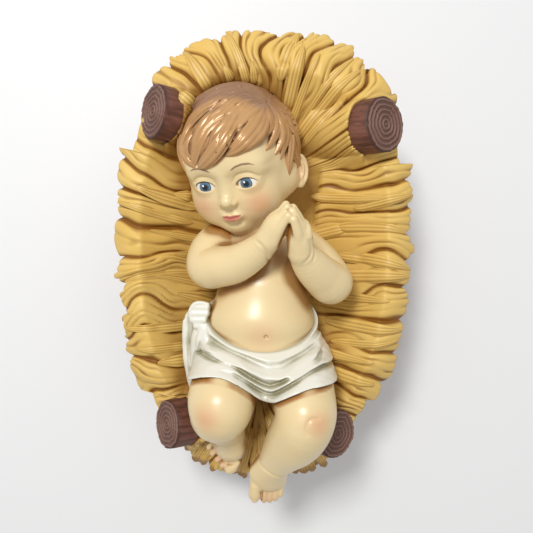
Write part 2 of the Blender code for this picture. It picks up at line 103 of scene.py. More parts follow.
def press(block, distance, low, high, blend=0.0, carve=False):
    # Joins a lump to the clay, or carves it out, with an edge as soft as the blend
    room = 1.5 * blend + 3
    slices, (x, y, z) = window(block, np.array(low) - room, np.array(high) + room)
    old = block["field"][slices]
    if old.size == 0:
        return
    new = distance(x, y, z)
    if carve:
        old = -old
    if blend > 0:
        h = np.clip(0.5 + 0.5 * (old - new) / blend, 0, 1)
        mixed = old + (new - old) * h - blend * h * (1 - h)
    else:
        mixed = np.minimum(old, new)
    block["field"][slices] = -mixed if carve else mixed


def lump(block, centre, radii, turn=None, blend=0.0, carve=False):
    # An ellipsoid
    turn = np.eye(3) if turn is None else turn
    radii = np.array(radii, float)
    centre = np.array(centre, float)
    reach = np.sqrt((turn**2) @ (radii**2))

    def distance(x, y, z):
        x, y, z = x - centre[0], y - centre[1], z - centre[2]
        near = far = 0
        for axis in range(3):
            share = (x * turn[0, axis] + y * turn[1, axis] + z * turn[2, axis]) / radii[axis]
            near = near + share**2
            far = far + (share / radii[axis]) ** 2
        near = np.sqrt(near)
        return (near * (near - 1) / np.maximum(np.sqrt(far), 1e-6)).astype(np.float32)

    press(block, distance, centre - reach, centre + reach, blend, carve)


def smoothPath(knots, steps):
    # A Catmull-Rom curve through knots of any width
    knots = [np.array(k, float) for k in knots]
    if len(knots) < 3:
        return [knots[0] + (knots[-1] - knots[0]) * t for t in np.linspace(0, 1, steps + 1)]
    ends = [knots[0], *knots, knots[-1]]
    path = []
    for a, b, c, d in zip(ends, ends[1:], ends[2:], ends[3:]):
        for t in np.arange(steps) / steps:
            bend = (3 * b - a - 3 * c + d) * t**3
            path.append(0.5 * (2 * b + (c - a) * t + (2 * a - 5 * b + 4 * c - d) * t**2 + bend))
    return [*path, knots[-1]]


def roll(block, knots, blend=0.0, steps=5, carve=False, flat=1.0, up=(0, 0, 1), around=None, grooves=0,
         depth=0.0, phase=0.0):
    # A tapering roll along (x, y, z, radius) knots. It is squashed by flat along up, or away from the point
    # that it lies around, and grooves run along it.
    path = smoothPath(knots, steps)
    points = np.array([p[:3] for p in path])
    radii = np.array([p[3] for p in path])
    widest = radii.max() + 1.5 * blend + 3
    fixedUp = unit(up)

    def distance(x, y, z):
        best = np.full(np.broadcast_shapes(x.shape, y.shape, z.shape), 30.0, np.float32)
        for a, b, ra, rb in zip(points, points[1:], radii, radii[1:]):
            way = b - a
            long = way @ way
            if long < 1e-9:
                continue
            up = fixedUp if around is None else unit((a + b) / 2 - around)
            cut = []
            for axis, line in enumerate((x, y, z)):
                line = line.ravel()
                lo, hi = min(a[axis], b[axis]) - widest, max(a[axis], b[axis]) + widest
                cut.append(slice(int(np.searchsorted(line, lo)), int(np.searchsorted(line, hi))))
            px, py, pz = x[cut[0]] - a[0], y[:, cut[1]] - a[1], z[:, :, cut[2]] - a[2]
            t = np.clip((px * way[0] + py * way[1] + pz * way[2]) / long, 0, 1)
            vx, vy, vz = px - way[0] * t, py - way[1] * t, pz - way[2] * t
            radius = ra + (rb - ra) * t
            side = unit(np.cross(way, up))
            over = np.cross(side, way / math.sqrt(long))
            if flat != 1.0:
                along = (vx * over[0] + vy * over[1] + vz * over[2]) * (1 / flat - 1)
                vx, vy, vz = vx + over[0] * along, vy + over[1] * along, vz + over[2] * along
            if grooves:
                angle = np.arctan2(vx * over[0] + vy * over[1] + vz * over[2],
                                   vx * side[0] + vy * side[1] + vz * side[2])
                radius = radius * (1 - depth * (0.5 + 0.5 * np.cos(angle * grooves + phase)) ** 3)
            d = (np.sqrt(vx * vx + vy * vy + vz * vz) - radius) * (flat if flat < 1 else 1)
            part = best[cut[0], cut[1], cut[2]]
            np.minimum(part, d, out=part)
        return best

    reach = radii.max()
    press(block, distance, points.min(0) - reach, points.max(0) + reach, blend, carve)


def sample(block, points):
    # The clay's distance at each point, read between its cells; outside the box the way back to it is added
    cell = (points - block["low"]) / block["voxel"]
    shape = np.array(block["field"].shape)
    beyond = np.linalg.norm(cell - np.clip(cell, 0, shape - 1.001), axis=1) * block["voxel"]
    cell = np.clip(cell, 0, shape - 1.001)
    whole = cell.astype(int)
    rest = cell - whole
    value = 0
    for corner in range(8):
        bits = np.array([corner & 1, corner >> 1 & 1, corner >> 2 & 1])
        weight = np.prod(np.where(bits, rest, 1 - rest), axis=1)
        i, j, k = (whole + bits).T
        value = value + block["field"][i, j, k] * weight
    return value + beyond


def landOn(block, starts, direction, far=80.0):
    # Where lines from the starts, all along one direction or each along its own, first meet the clay
    starts, direction = np.atleast_2d(np.array(starts, float)), np.atleast_2d(np.array(direction, float))
    direction = direction / np.linalg.norm(direction, axis=1, keepdims=True)
    steps = np.arange(0, far, 0.5)
    line = starts[:, None] + steps[None, :, None] * direction[:, None]
    values = sample(block, line.reshape(-1, 3)).reshape(len(starts), -1)
    first = np.maximum((values < 0).argmax(1), 1)
    row = np.arange(len(starts))
    before, after = values[row, first - 1], values[row, first]
    rest = before / np.where(before == after, 1, before - after)
    return starts + direction * ((first - 1 + rest) * 0.5)[:, None]


def skin(block):
    # The clay's surface as vertices in millimetres and quads facing out
    field = block["field"]
    inside = field < 0
    count = np.zeros(tuple(n - 1 for n in field.shape), np.uint8)
    nx, ny, nz = count.shape
    corners = [(c & 1, c >> 1 & 1, c >> 2 & 1) for c in range(8)]
    for dx, dy, dz in corners:
        count += inside[dx : dx + nx, dy : dy + ny, dz : dz + nz]
    mixed = (count > 0) & (count < 8)
    cells = np.argwhere(mixed)
    number = np.full(mixed.shape, -1, np.int32)
    number[mixed] = np.arange(len(cells))
    values = np.stack([field[tuple((cells + corner).T)] for corner in corners], 1)
    total = np.zeros((len(cells), 3))
    hits = np.zeros(len(cells))
    for one in range(8):
        for axis in range(3):
            other = one | 1 << axis
            if other == one:
                continue
            a, b = values[:, one], values[:, other]
            crossed = (a < 0) != (b < 0)
            t = np.where(crossed, a / np.where(crossed, a - b, 1), 0)
            spot = np.tile(np.array(corners[one], float), (len(cells), 1))
            spot[:, axis] += t
            total += spot * crossed[:, None]
            hits += crossed
    vertices = block["low"] + block["voxel"] * (cells + total / hits[:, None])
    quads = []
    for axis in range(3):
        u, v = (axis + 1) % 3, (axis + 2) % 3
        near = [slice(1, -1)] * 3
        near[axis] = slice(0, -1)
        far = list(near)
        far[axis] = slice(1, None)
        a, b = inside[tuple(near)], inside[tuple(far)]
        for outward in (True, False):
            where = np.argwhere(a & ~b if outward else b & ~a)
            shift = np.ones(3, int)
            shift[axis] = 0
            where = where + shift
            ring = []
            for du, dv in ((-1, -1), (0, -1), (0, 0), (-1, 0)):
                step = np.zeros(3, int)
                step[u], step[v] = du, dv
                i, j, k = (where + step).T
                ring.append(number[i, j, k])
            ring = np.stack(ring if outward else ring[::-1], 1)
            quads.append(ring)
    return vertices, np.concatenate(quads)


def normalsOf(vertices, quads):
    cross = np.cross(vertices[quads[:, 2]] - vertices[quads[:, 0]],
                     vertices[quads[:, 3]] - vertices[quads[:, 1]])
    normals = np.zeros_like(vertices)
    for corner in range(4):
        np.add.at(normals, quads[:, corner], cross)
    return normals / np.maximum(np.linalg.norm(normals, axis=1, keepdims=True), 1e-12)


def meshPiece(name, vertices, quads, material, attributes=None, caps=()):
    # Vertices come in millimetres of the carver's frame; caps are further faces with many corners
    mesh = bpy.data.meshes.new(name)
    mesh.vertices.add(len(vertices))
    mesh.vertices.foreach_set("co", toMetres(vertices).ravel())
    corners = np.concatenate([quads.ravel(), *[np.array(cap) for cap in caps]]).astype(np.int32)
    starts = [*range(0, quads.size, 4)]
    for cap in caps:
        starts.append(starts[-1] + 4 if len(starts) == len(quads) else starts[-1] + len(caps[0]))
    mesh.loops.add(len(corners))
    mesh.loops.foreach_set("vertex_index", corners)
    mesh.polygons.add(len(starts))
    mesh.polygons.foreach_set("loop_start", np.array(starts, np.int32))
    mesh.update(calc_edges=True)
    for key, values in (attributes or {}).items():
        layer = mesh.attributes.new(key, "FLOAT", "POINT")
        layer.data.foreach_set("value", np.asarray(values, np.float32))
    mesh.materials.append(material)
    mesh.shade_smooth()
    piece = bpy.data.objects.new(name, mesh)
    bpy.context.scene.collection.objects.link(piece)
    return thinned(piece, 2 * len(quads))


mostTriangles = 196000  # a piece keeps at most this many triangles; past it the piece is thinned


def thinned(piece, triangles):
    # Collapses the shortest flat edges of a piece that has more triangles than it should
    name = piece.name
    if triangles > mostTriangles:
        modifier = piece.modifiers.new("thin", "DECIMATE")
        modifier.ratio = mostTriangles / triangles
        made = bpy.data.meshes.new_from_object(piece.evaluated_get(bpy.context.evaluated_depsgraph_get()))
        piece.modifiers.remove(modifier)
        piece.data = made
        made.name = name
    print(f"    {name}: {triangles} triangles, kept {min(triangles, mostTriangles)}")
    return piece


def crease(vertices, normals, blocks, reach):
    # 0 on open ground, towards 1 in folds and where pieces come close
    probe = vertices + normals * reach
    room = np.min([sample(block, probe) for block in blocks], axis=0)
    return np.clip(1 - room / reach, 0, 1)


def cloudOf(points):
    # The finished surfaces as a cloud of points that can be asked for the nearest one
    cloud = kdtree.KDTree(len(points))
    for index, point in enumerate(points):
        cloud.insert(point, index)
    cloud.balance()
    return cloud


def farFrom(cloud, points):
    return np.array([cloud.find(point)[2] for point in points])


def hollows(vertices, normals, cloud, reaches):
    # 0 on open ground, towards 1 in broad hollows: how far ahead of the surface other clay lies
    return np.mean([1 - farFrom(cloud, vertices + normals * reach) / reach for reach in reaches], axis=0)


def finish(piece, node):
    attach(piece, "root")
    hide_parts(node)
    return piece


def turned(axis, degrees):
    return np.array(Matrix.Rotation(math.radians(degrees), 3, axis))


# Materials


def fromHex(code):
    channels = [int(code[i : i + 2], 16) / 255 for i in (1, 3, 5)]
    return (*[c / 12.92 if c <= 0.04045 else ((c + 0.055) / 1.055) ** 2.4 for c in channels], 1)


def addNode(tree, kind, settings=None, inputs=None):
    # inputs maps a socket to a value or to another node's output socket
    node = tree.nodes.new(kind)
    for key, value in (settings or {}).items():
        setattr(node, key, value)
    for key, value in (inputs or {}).items():
        if isinstance(value, bpy.types.NodeSocket):
            tree.links.new(value, node.inputs[key])
        else:
            node.inputs[key].default_value = value
    return node


def followSteps(tree, made, steps):
    # One node for each step. Words name the tree's inputs and earlier results, numbers stand for themselves
    for name, what, *terms in steps:
        terms = [made[term] if isinstance(term, str) else term for term in terms]
        if what == "NOISE":
            inputs = dict(zip(("Vector", "Scale", "Detail", "Roughness", "Distortion"), terms))
            made[name] = addNode(tree, "ShaderNodeTexNoise", None, inputs).outputs[0]
        elif what == "VECTOR":
            made[name] = addNode(tree, "ShaderNodeCombineXYZ", None, dict(enumerate(terms))).outputs[0]
        else:
            made[name] = addNode(tree, "ShaderNodeMath", {"operation": what},
                                 dict(enumerate(terms))).outputs[0]
    return made


# The infant's head: knots are (to the figure's left, to its crown, to its face) from the cranium's middle

head = {
    "centre": (-19.8, 80.5, 121), "roll": 14, "pitch": 24, "yaw": -19, "voxel": 0.5,
    "eye": (13.4, -12, 24), "eyeRadius": 8.6, "lidThickness": 0.8, "eyeWidth": 6.7, "eyeOpen": 3.3,
    "lowerLid": 0.8,
    "mouth": -32.3, "mouthWidth": 6.3,
}
headTurn = turned("Z", head["roll"]) @ turned("X", head["pitch"]) @ turned("Y", head["yaw"])


def onHead(side, up, front):
    return np.array(head["centre"]) + headTurn @ np.array([side, up, front], float)


def headPlaces(points):
    # From the carver's frame back to the head's own
    return (points - np.array(head["centre"])) @ headTurn


def headLump(block, side, up, front, radii, blend, carve=False, tilt=0):
    lump(block, onHead(side, up, front), radii, headTurn @ turned("Z", tilt), blend, carve)


def headRoll(block, knots, blend, carve=False, **more):
    roll(block, [(*onHead(*k[:3]), k[3]) for k in knots], blend, carve=carve, up=headTurn[:, 2], **more)


def faceRoll(block, knots, blend, carve=False, **more):
    # Knots of (side, up, how far it stands off the face, radius)
    starts = [onHead(side, up, 60) for side, up, _, _ in knots]
    spots = landOn(block, starts, -headTurn[:, 2]) + headTurn[:, 2] * np.array([[k[2]] for k in knots])
    roll(block, [(*spot, k[3]) for spot, k in zip(spots, knots)], blend, carve=carve, **more)


def headBlock(voxel):
    centre = np.array(head["centre"])
    return clay(centre - (50, 56, 48), centre + (52, 50, 48), voxel)


def sculptSkull():
    block = headBlock(head["voxel"])
    headLump(block, 0, 0, -2, (35, 36, 36.5), 0)
    headLump(block, 0, -13, 6, (30, 27, 27), 8)
    headLump(block, 0, -27, 11, (24.5, 21.5, 20), 9)
    headLump(block, 0, 4, 25, (22, 15, 9), 10)
    for side in (-1, 1):
        headLump(block, side * 15, -26, 15.5, (13, 13.5, 13.5), 9)
        headLump(block, side * 12, -2.5, 24, (11, 4, 7), 9)
        headLump(block, 23.5 if side > 0 else -19.5, -19, -3, (15.5, 14, 14), 8)
    headLump(block, 0, -41, 19.5, (8.5, 7, 8), 7)
    roll(block, [(*onHead(0, -34, -4), 17), (-8, 40, 104, 18), (-2, 26, 102, 18)], 6)
    return block


def sculptHead(skull):
    block = {**skull, "field": skull["field"].copy()}
    for side in (-1, 1):
        shapeEye(block, side)
        shapeEar(block, side)
    shapeNose(block)
    shapeMouth(block)
    return block


def eyeOpening(a):
    # Upper and lower edge of the open eye at a share a of its half width
    arch = np.clip(1 - a**2, 0, 1)
    return head["eyeOpen"] * arch**0.62, -head["lowerLid"] * head["eyeOpen"] * arch**0.85


def eyeFrame(points, side):
    # A point's place from the middle of the eyeball: outwards, up and forward
    spot = headPlaces(points) - np.array([side * head["eye"][0], head["eye"][1], head["eye"][2]])
    return spot[..., 0] * side, spot[..., 1] - 0.05 * spot[..., 0] * side, spot[..., 2]


def shapeEye(block, side):
    s, u, f = head["eye"]
    lid = head["eyeRadius"] + head["lidThickness"]
    headLump(block, side * (s + 0.5), u + 1, f + 13, (10, 7, 4.5), 6, carve=True)
    headLump(block, side * s, u, f, (lid, lid, lid), 2)
    fold = [(side * (s - 7.5), u + 2.5, 0.2, 0.4), (side * (s - 4), u + 6.2, 0.1, 0.6),
            (side * (s + 3), u + 6.6, 0.1, 0.6), (side * (s + 8), u + 3, 0.2, 0.4)]
    faceRoll(block, fold, 1.2, carve=True)
    middle = onHead(side * s, u, f)

    def opening(x, y, z):
        points = np.stack(np.broadcast_arrays(x, y, z), -1)
        a, b, c = eyeFrame(points, side)
        top, bottom = eyeOpening(a / head["eyeWidth"])
        return np.maximum(np.maximum(np.maximum(b - top, bottom - b), np.abs(a) - head["eyeWidth"]),
                          2 - c).astype(np.float32)

    press(block, opening, middle - 14, middle + 14, 0.6, carve=True)


def shapeEar(block, side):
    # A shell whose back edge stands off the head: back, up and out are its own directions
    back, up, out = (side * 0.56, -0.05, -0.83), (0, 0.98, -0.18), (side * 0.83, 0.1, 0.56)
    back, up, out = unit(back), unit(up), unit(out)
    middle = np.array([side * 37, -17.5, -5.5])

    def spot(b, u, o):
        return onHead(*(middle + back * b + up * u + out * o))

    turn = headTurn @ np.stack([back, up, out], 1)
    lump(block, spot(0.9, 0, 0), (5.7, 10, 2.5), turn, 2.2)
    rim = []
    for step, angle in enumerate((160, 130, 100, 65, 30, -5, -40, -65)):
        b, u = 6 * math.cos(math.radians(angle)), 9.2 * math.sin(math.radians(angle))
        rim.append((*spot(b, u, 1.3), 1.35 + 0.25 * math.sin(math.pi * step / 7)))
    roll(block, rim, 0.8)
    lump(block, spot(0.6, 0.4, 3.1), (4.5, 6.8, 2.6), turn, 1, carve=True)
    roll(block, [(*spot(0.5, 6, 1), 0.9), (*spot(3, 2.5, 1.4), 1.1), (*spot(2.8, -2.5, 1.4), 1),
                 (*spot(0.5, -5.5, 1.2), 0.9)], 0.9)
    lump(block, spot(-1.2, -1.2, 1.6), (2, 2.6, 2), turn, 0.8, carve=True)
    lump(block, spot(-4.3, -0.8, 1.6), (1.5, 2.2, 1.5), turn, 1)
    lump(block, spot(0.2, -8.6, 0.6), (3, 3, 2.2), turn, 1.2)


def shapeNose(block):
    headRoll(block, [(0, -10, 31.5, 2.2), (0, -16, 33.2, 2.4), (0, -20.5, 35.3, 3)], 5)
    headLump(block, 0, -21.4, 36, (3.7, 3.3, 3.6), 2)
    for side in (-1, 1):
        headLump(block, side * 3.8, -22.6, 34, (2.4, 2.1, 2.6), 1.6)
        headLump(block, side * 2.1, -24.6, 35.6, (1.1, 0.8, 1.5), 0.6, carve=True)


def shapeMouth(block):
    m, w = head["mouth"], head["mouthWidth"]

    def mirrored(knots):
        return [*knots, *[(-a, b, c, r) for a, b, c, r in reversed(knots) if a]]

    faceRoll(block, mirrored([(-4, m + 1, -1.8, 3.2), (0, m + 0.5, -1.4, 4)]), 3)
    faceRoll(block, [(-0.1, m + 7.4, 0.5, 0.7), (0.1, m + 3.6, 0.6, 0.8)], 1.4, carve=True)
    faceRoll(block, mirrored([(-w, m + 0.5, -0.2, 0.6), (-w * 0.62, m + 1.1, -0.1, 1),
                              (-w * 0.3, m + 1.3, 0, 1.2), (0, m + 0.9, 0.1, 1.1)]), 0.8)
    faceRoll(block, mirrored([(-w * 0.82, m - 0.5, -0.4, 0.7), (-w * 0.4, m - 1.5, -0.2, 1.3)]), 0.9)
    faceRoll(block, mirrored([(-w - 0.6, m + 0.8, 0.1, 0.35), (-w * 0.5, m - 0.05, 0.1, 0.4),
                              (0, m - 0.3, 0.1, 0.45)]), 0.6, carve=True)
    faceRoll(block, mirrored([(-4, m - 5.3, 0.8, 1.0), (0, m - 5.7, 0.8, 1.3)]), 3, carve=True)


# Hair: locks combed from the whorl, each with its knots on the head, its half width, its lift and its grooves

hair = {
    "voxel": 0.5, "cap": (0, 3, -5), "capRadii": (36, 35.5, 35.5), "aim": (0, 0, -4), "rise": 1.2,
    "halfThickness": 3.3, "fullness": 1.06, "grooveDepth": 0.17, "whorl": (25, 29, 0), "backLocks": 20,
    "backReach": 37.2, "stagger": 0.8,
    "locks": [
        (((23, 31, 2), (14, 35, 7), (3, 36, 12), (-7, 33, 15), (-17, 28, 16), (-25, 21, 16), (-31, 11, 15),
          (-33, 0, 14)), 6, 0.3, 5),
        (((24, 30, -3), (14, 36, -7), (-2, 38, -7), (-18, 32, -2), (-29, 22, 3), (-34, 8, 5),
          (-34, -6, 6)), 7, 0.1, 5),
        (((-23, 29, 8), (-29, 20, 11), (-32, 9, 14), (-30, 2, 21), (-25, -6, 27)), 4, 0.5, 4),
        (((22, 31, 5), (12, 33, 12), (4, 34, 15), (-4, 33, 16), (-10, 32, 16), (-15, 27, 19)), 2.5, 1.2, 2),
        (((24, 29, 7), (18, 29, 13), (12, 29, 19), (4, 28, 24), (-5, 24, 29), (-10, 17, 33), (-15, 8, 35),
          (-19, 1, 34.5)), 7.6, 0.9, 5),
        (((24, 29, 6), (18, 31, 11), (13, 31, 15), (7, 31, 18), (0, 31, 19), (-7, 29, 21)), 2.5, 1.8, 2),
        (((23, 28, 11), (15, 27, 19), (9, 23, 27), (3, 18, 32), (-2, 13, 36), (-11, 7, 36)), 5.2, 1.1, 4),
        (((14, 25, 22), (9, 20, 30), (4, 14, 34), (-2, 9, 37), (-9, 4, 37), (-14.5, 1.5, 36)), 5, 1.3, 4),
        (((24, 28, 8), (21, 26, 15), (17, 24, 22), (13, 20, 28), (7, 15, 33)), 4.6, 1.6, 3),
        (((-18, 26, 18), (-23, 19, 21), (-24, 12, 28), (-21, 6, 33), (-15, 0, 36)), 3, 1.2, 3),
        (((-13, 24, 24), (-18, 17, 29), (-20, 11, 31), (-18, 5, 35)), 3, 1.4, 2),
        (((25, 26, 9), (26, 20, 16), (24, 15, 24), (18, 11, 31), (9, 7, 35)), 4.4, 1.2, 3),
        (((25, 27, 7), (24, 23, 15), (22, 19, 23), (17, 14, 29), (11, 10, 34), (1, 7, 37)), 5.6, 2, 4),
        (((26, 26, 7), (28, 21, 12), (29, 16, 16), (26, 10, 26)), 2.6, 2.2, 2),
        (((28, 27, -3), (34, 16, -3), (36, 4, 1), (35, -8, 6), (33, -17, 8)), 4.4, 0.8, 3),
        (((25, 29, -8), (34, 18, -12), (37, 5, -9), (38, -6, -5), (37, -10, -2)), 4.8, 0.6, 4),
        (((28, 27, 0), (33, 17, 3), (35, 6, 8), (32, -6, 15)), 4, 1.1, 3),
        (((27, 27, 3), (32, 17, 7), (34, 7, 11), (30, -1, 19)), 3.5, 1.5, 2),
        (((27, 27, 5), (31, 18, 9), (31, 11, 15), (27, 4, 26)), 3.2, 1.8, 2),
        (((8, 39, -6), (9, 38, 0), (10, 36, 6)), 2.6, 1.8, 2),
        (((-20, 32, 0), (-29, 22, 4), (-34, 10, 7), (-35, 1, 9), (-33, -8, 12)), 5.5, 0.3, 4),
    ],
    # Fine lines scored between the locks: how many, from where to where down from the whorl, and how wide
    "lines": 34, "lineStart": 10, "lineEnd": 84, "lineRadius": 0.55,
}


def combLock(block, scalp, points, width, lift, grooves, phase):
    aim = onHead(*hair["aim"])
    far = [onHead(*point) for point in points]
    far = [aim + unit(spot - aim) * 60 for spot in far]
    spots = landOn(scalp, far, [aim - spot for spot in far])
    knots = []
    for step, spot in enumerate(spots):
        share = step / (len(spots) - 1)
        swell = max(0.14, 0.4 + 0.64 * math.sin(math.pi * (0.1 + 0.72 * share)) - 0.66 * share**4)
        high = (lift + hair["rise"] * math.sin(math.pi * min(1, share * 1.15))) * (1 - share**3) - 0.7
        knots.append((*(spot + unit(spot - aim) * high), width * hair["fullness"] * swell))
    roll(block, knots, 0.15, steps=6, flat=min(0.8, hair["halfThickness"] / width), around=aim,
         grooves=2 * grooves, depth=hair["grooveDepth"], phase=phase)


def fromWhorl(azimuth, polar):
    # A place on the cap, reached on a curl out of the whorl
    middle, whorl = np.array(hair["cap"], float), np.array(hair["whorl"], float)
    pole = unit(whorl - middle)
    toFace = unit(np.array([0, 0, 1.0]) - pole * pole[2])
    turn = azimuth + 0.5 * polar
    aside = toFace * math.cos(turn) + np.cross(pole, toFace) * math.sin(turn)
    return middle + (pole * math.cos(polar) + aside * math.sin(polar)) * hair["backReach"]


def backLocks():
    # The hidden hair: locks that curl down from the whorl over the back of the head
    locks = []
    for index in range(hair["backLocks"]):
        azimuth = math.radians(62 + index * 268 / (hair["backLocks"] - 1))
        points = [fromWhorl(azimuth, math.radians(6 + step * 22)) for step in range(6)]
        points = [p for p in points if p[1] > -26 and (p[2] < 6 or p[1] > 16)]
        if len(points) > 2:
            locks.append((points, 6, 0.2, 4))
    return locks


def scoreLines(block):
    aim = onHead(*hair["aim"])
    for index in range(hair["lines"]):
        azimuth = math.radians(62 + (index + 0.5) * 268 / hair["lines"])
        polars = np.radians(np.linspace(hair["lineStart"] + 7 * (index % 3),
                                        hair["lineEnd"] - 9 * (index % 4), 7))
        far = [aim + unit(onHead(*fromWhorl(azimuth, polar)) - aim) * 60 for polar in polars]
        spots = landOn(block, far, [aim - spot for spot in far])
        ends = np.sin(np.pi * np.linspace(0.08, 0.92, len(spots)))
        roll(block, [(*spot, hair["lineRadius"] * end) for spot, end in zip(spots, ends)], 0.5, steps=3,
             carve=True)


def sculptHair(skull):
    scalp = {**skull, "field": skull["field"].copy()}
    block = headBlock(hair["voxel"])
    for clayBlock in (scalp, block):
        headLump(clayBlock, *hair["cap"], hair["capRadii"], 0)
        headLump(clayBlock, 0, -14, -16, (32, 24, 22), 5)
    for index, (points, width, lift, grooves) in enumerate([*backLocks(), *hair["locks"]]):
        combLock(block, scalp, points, width, lift + hair["stagger"] * (index % 2), grooves, index * 1.3)
    scoreLines(block)
    return block


# The body: knots are (x, y, z, radius) in the carver's frame

body = {
    "voxel": 0.7,
    "trunk": [((2, 14, 99), (29, 23, 25)), ((2.2, -8, 100), (31, 27, 28)),
              ((1.8, -29, 100.5), (36, 24.5, 30.5)), ((4, -56, 97), (39, 26, 30))],
    "neck": [(-2, 20, 102, 18), (-9, 42, 109, 17)],
    "arms": {
        "right": [(-27, 24, 104, 14), (-34.8, 16, 110, 13.2), (-34.8, 5.5, 117, 13.8),
                  (-26.4, 5.8, 124, 13.2), (-15.3, 8.6, 131, 12), (-4.7, 15.4, 139, 10),
                  (3.4, 23.6, 147, 7.6)],
        "left": [(26, 22, 104, 14), (38, 13.5, 110, 12.8), (46, 0, 117, 14.4), (39.1, 3.5, 126, 13),
                 (31, 10.1, 135, 11.3), (23.8, 18, 144, 8)],
    },
    "palms": {
        "right": [(3.4, 23.6, 148, 7.4), (7, 31, 152, 7.2), (9.2, 35, 155, 5.5)],
        "left": [(23.8, 18, 146, 8), (22.4, 25, 150, 8), (20.8, 32, 154, 6)],
    },
    # From the finger nearest the chest to the little one: its start, its end, and its radius at either end
    "fingers": {
        "right": [((5, 28, 148), (12, 41, 153), 3, 2.3), ((5.2, 28, 151), (12.8, 44.6, 157), 3, 2.3),
                  ((6.2, 26, 153), (13.5, 42.6, 160.5), 3.1, 2.3),
                  ((7.4, 22, 152.5), (14.3, 37.4, 162.5), 3, 2.5)],
        "left": [((25.5, 27, 150), (18.2, 41, 153), 3.1, 2.3), ((25, 27, 152.4), (17, 43, 157), 3.1, 2.3),
                 ((23.6, 25, 154), (17, 40.4, 160.5), 3.2, 2.4),
                 ((22, 20.5, 153), (17.6, 35.4, 162.3), 3.2, 2.6)],
    },
    "thumbs": {
        "right": [(1.5, 29.5, 147, 3.8), (5, 36, 147.5, 3.4), (9.5, 41, 148, 2.4)],
        "left": [(25, 34.5, 154, 2.1), (26.4, 31, 155.4, 2.3), (27.2, 27, 154.5, 2.4)],
    },
    "legs": {
        "right": [(-15, -58, 97, 23), (-20, -76, 123, 22), (-20.7, -84.5, 131, 19.4),
                  (-23.3, -92.5, 121, 15.3), (-15.5, -103.5, 112, 10.8), (-13, -113, 106, 9.5)],
        "left": [(26, -58, 97, 24), (32, -76, 124, 20.5), (33, -86, 134, 19), (29, -99, 126, 18.6),
                 (21.5, -112, 117, 14.4), (15.6, -123, 110, 11)],
    },
    # The middle of each foot, the way its toes point, the way to its big toe, and its half sizes
    "feet": {
        "right": ((-13.5, -114.5, 103), (-0.64, -0.76, -0.12), (0.766, -0.643, 0), (10.5, 10, 8)),
        "left": ((12.5, -131, 105), (0.02, -0.94, -0.34), (-1, -0.02, 0), (13, 12, 9)),
    },
    # How far ahead the ball of each foot lies, its half sizes, and how far back its toes are rooted
    "balls": {"right": (5.5, (10.4, 6, 5.6), 6), "left": (8.5, (12.6, 6.5, 6.4), 8)},
    # From the big toe outwards
    "toes": {
        "right": [(-13.2, -130.4, 100.5), (-18.6, -129, 100), (-22.4, -125.4, 100), (-26, -121.4, 100),
                  (-28.7, -117.4, 100)],
        "left": [(4.2, -147.8, 101.5), (10.6, -151.2, 99), (14.5, -151.2, 98.5), (18.2, -150, 98.5),
                 (21.7, -147.2, 99)],
    },
}


def scored(block, knots, radius, blend, deep=0.2):
    # A line pressed into the clay along (x, y) places seen from above
    path = smoothPath(knots, 4)
    spots = landOn(block, [(x, y, 178) for x, y in path], (0, 0, -1), 110)
    ends = np.minimum(1, np.linspace(0, 5, len(path))) * np.minimum(1, np.linspace(5, 0, len(path)))
    line = [(*(spot + (0, 0, -deep * end)), radius * (0.35 + 0.65 * end)) for spot, end in zip(spots, ends)]
    roll(block, line, blend, steps=1, carve=True)


def sculptBody():
    block = clay((-62, -160, 58), (66, 56, 172), body["voxel"])
    for centre, radii in body["trunk"]:
        lump(block, centre, radii, blend=8)
    roll(block, body["neck"], 6)
    for side in ("right", "left"):
        roll(block, body["legs"][side], 5)
        shapeFoot(block, side)
    for side in ("right", "left"):
        roll(block, body["arms"][side], 2.2)
        shapeHand(block, side)
    scored(block, [(-4, 22.5), (0, 19.5), (3, 15), (4.6, 11)], 0.5, 1.6)
    scored(block, [(27.5, 24), (29.5, 20.5), (29.3, 15.5), (26, 11)], 0.55, 1.6)
    scored(block, [(30.5, 22.5), (32, 18), (31.5, 13)], 0.4, 1.4)
    navel = landOn(block, (5.6, -37.2, 178), (0, 0, -1), 110)[0]
    lump(block, navel, (1.5, 1.3, 1.7), blend=0.9, carve=True)
    scored(block, [(5.5, -121.5), (11, -125), (17, -128.2), (24.5, -128.8)], 0.6, 1.8)
    scored(block, [(-29, -106.5), (-20, -110.5), (-11, -110), (-5.5, -106)], 0.6, 2)
    scored(block, [(39.4, -81.4), (34.6, -82), (32.3, -87), (33.9, -91)], 0.45, 2)
    return block


def shapeHand(block, side):
    roll(block, body["palms"][side], 2.5)
    for start, end, thick, thin in body["fingers"][side]:
        start, end = np.array(start, float), np.array(end, float)
        bend = np.array((-0.9 if side == "right" else 0.9, 0, 0.2))
        knuckle = start + (end - start) * 0.5 + bend
        roll(block, [(*start, thick * 0.85), (*knuckle, (thick + thin) / 2 + 0.3), (*end, thin)], 0.9)
    roll(block, body["thumbs"][side], 0.9)


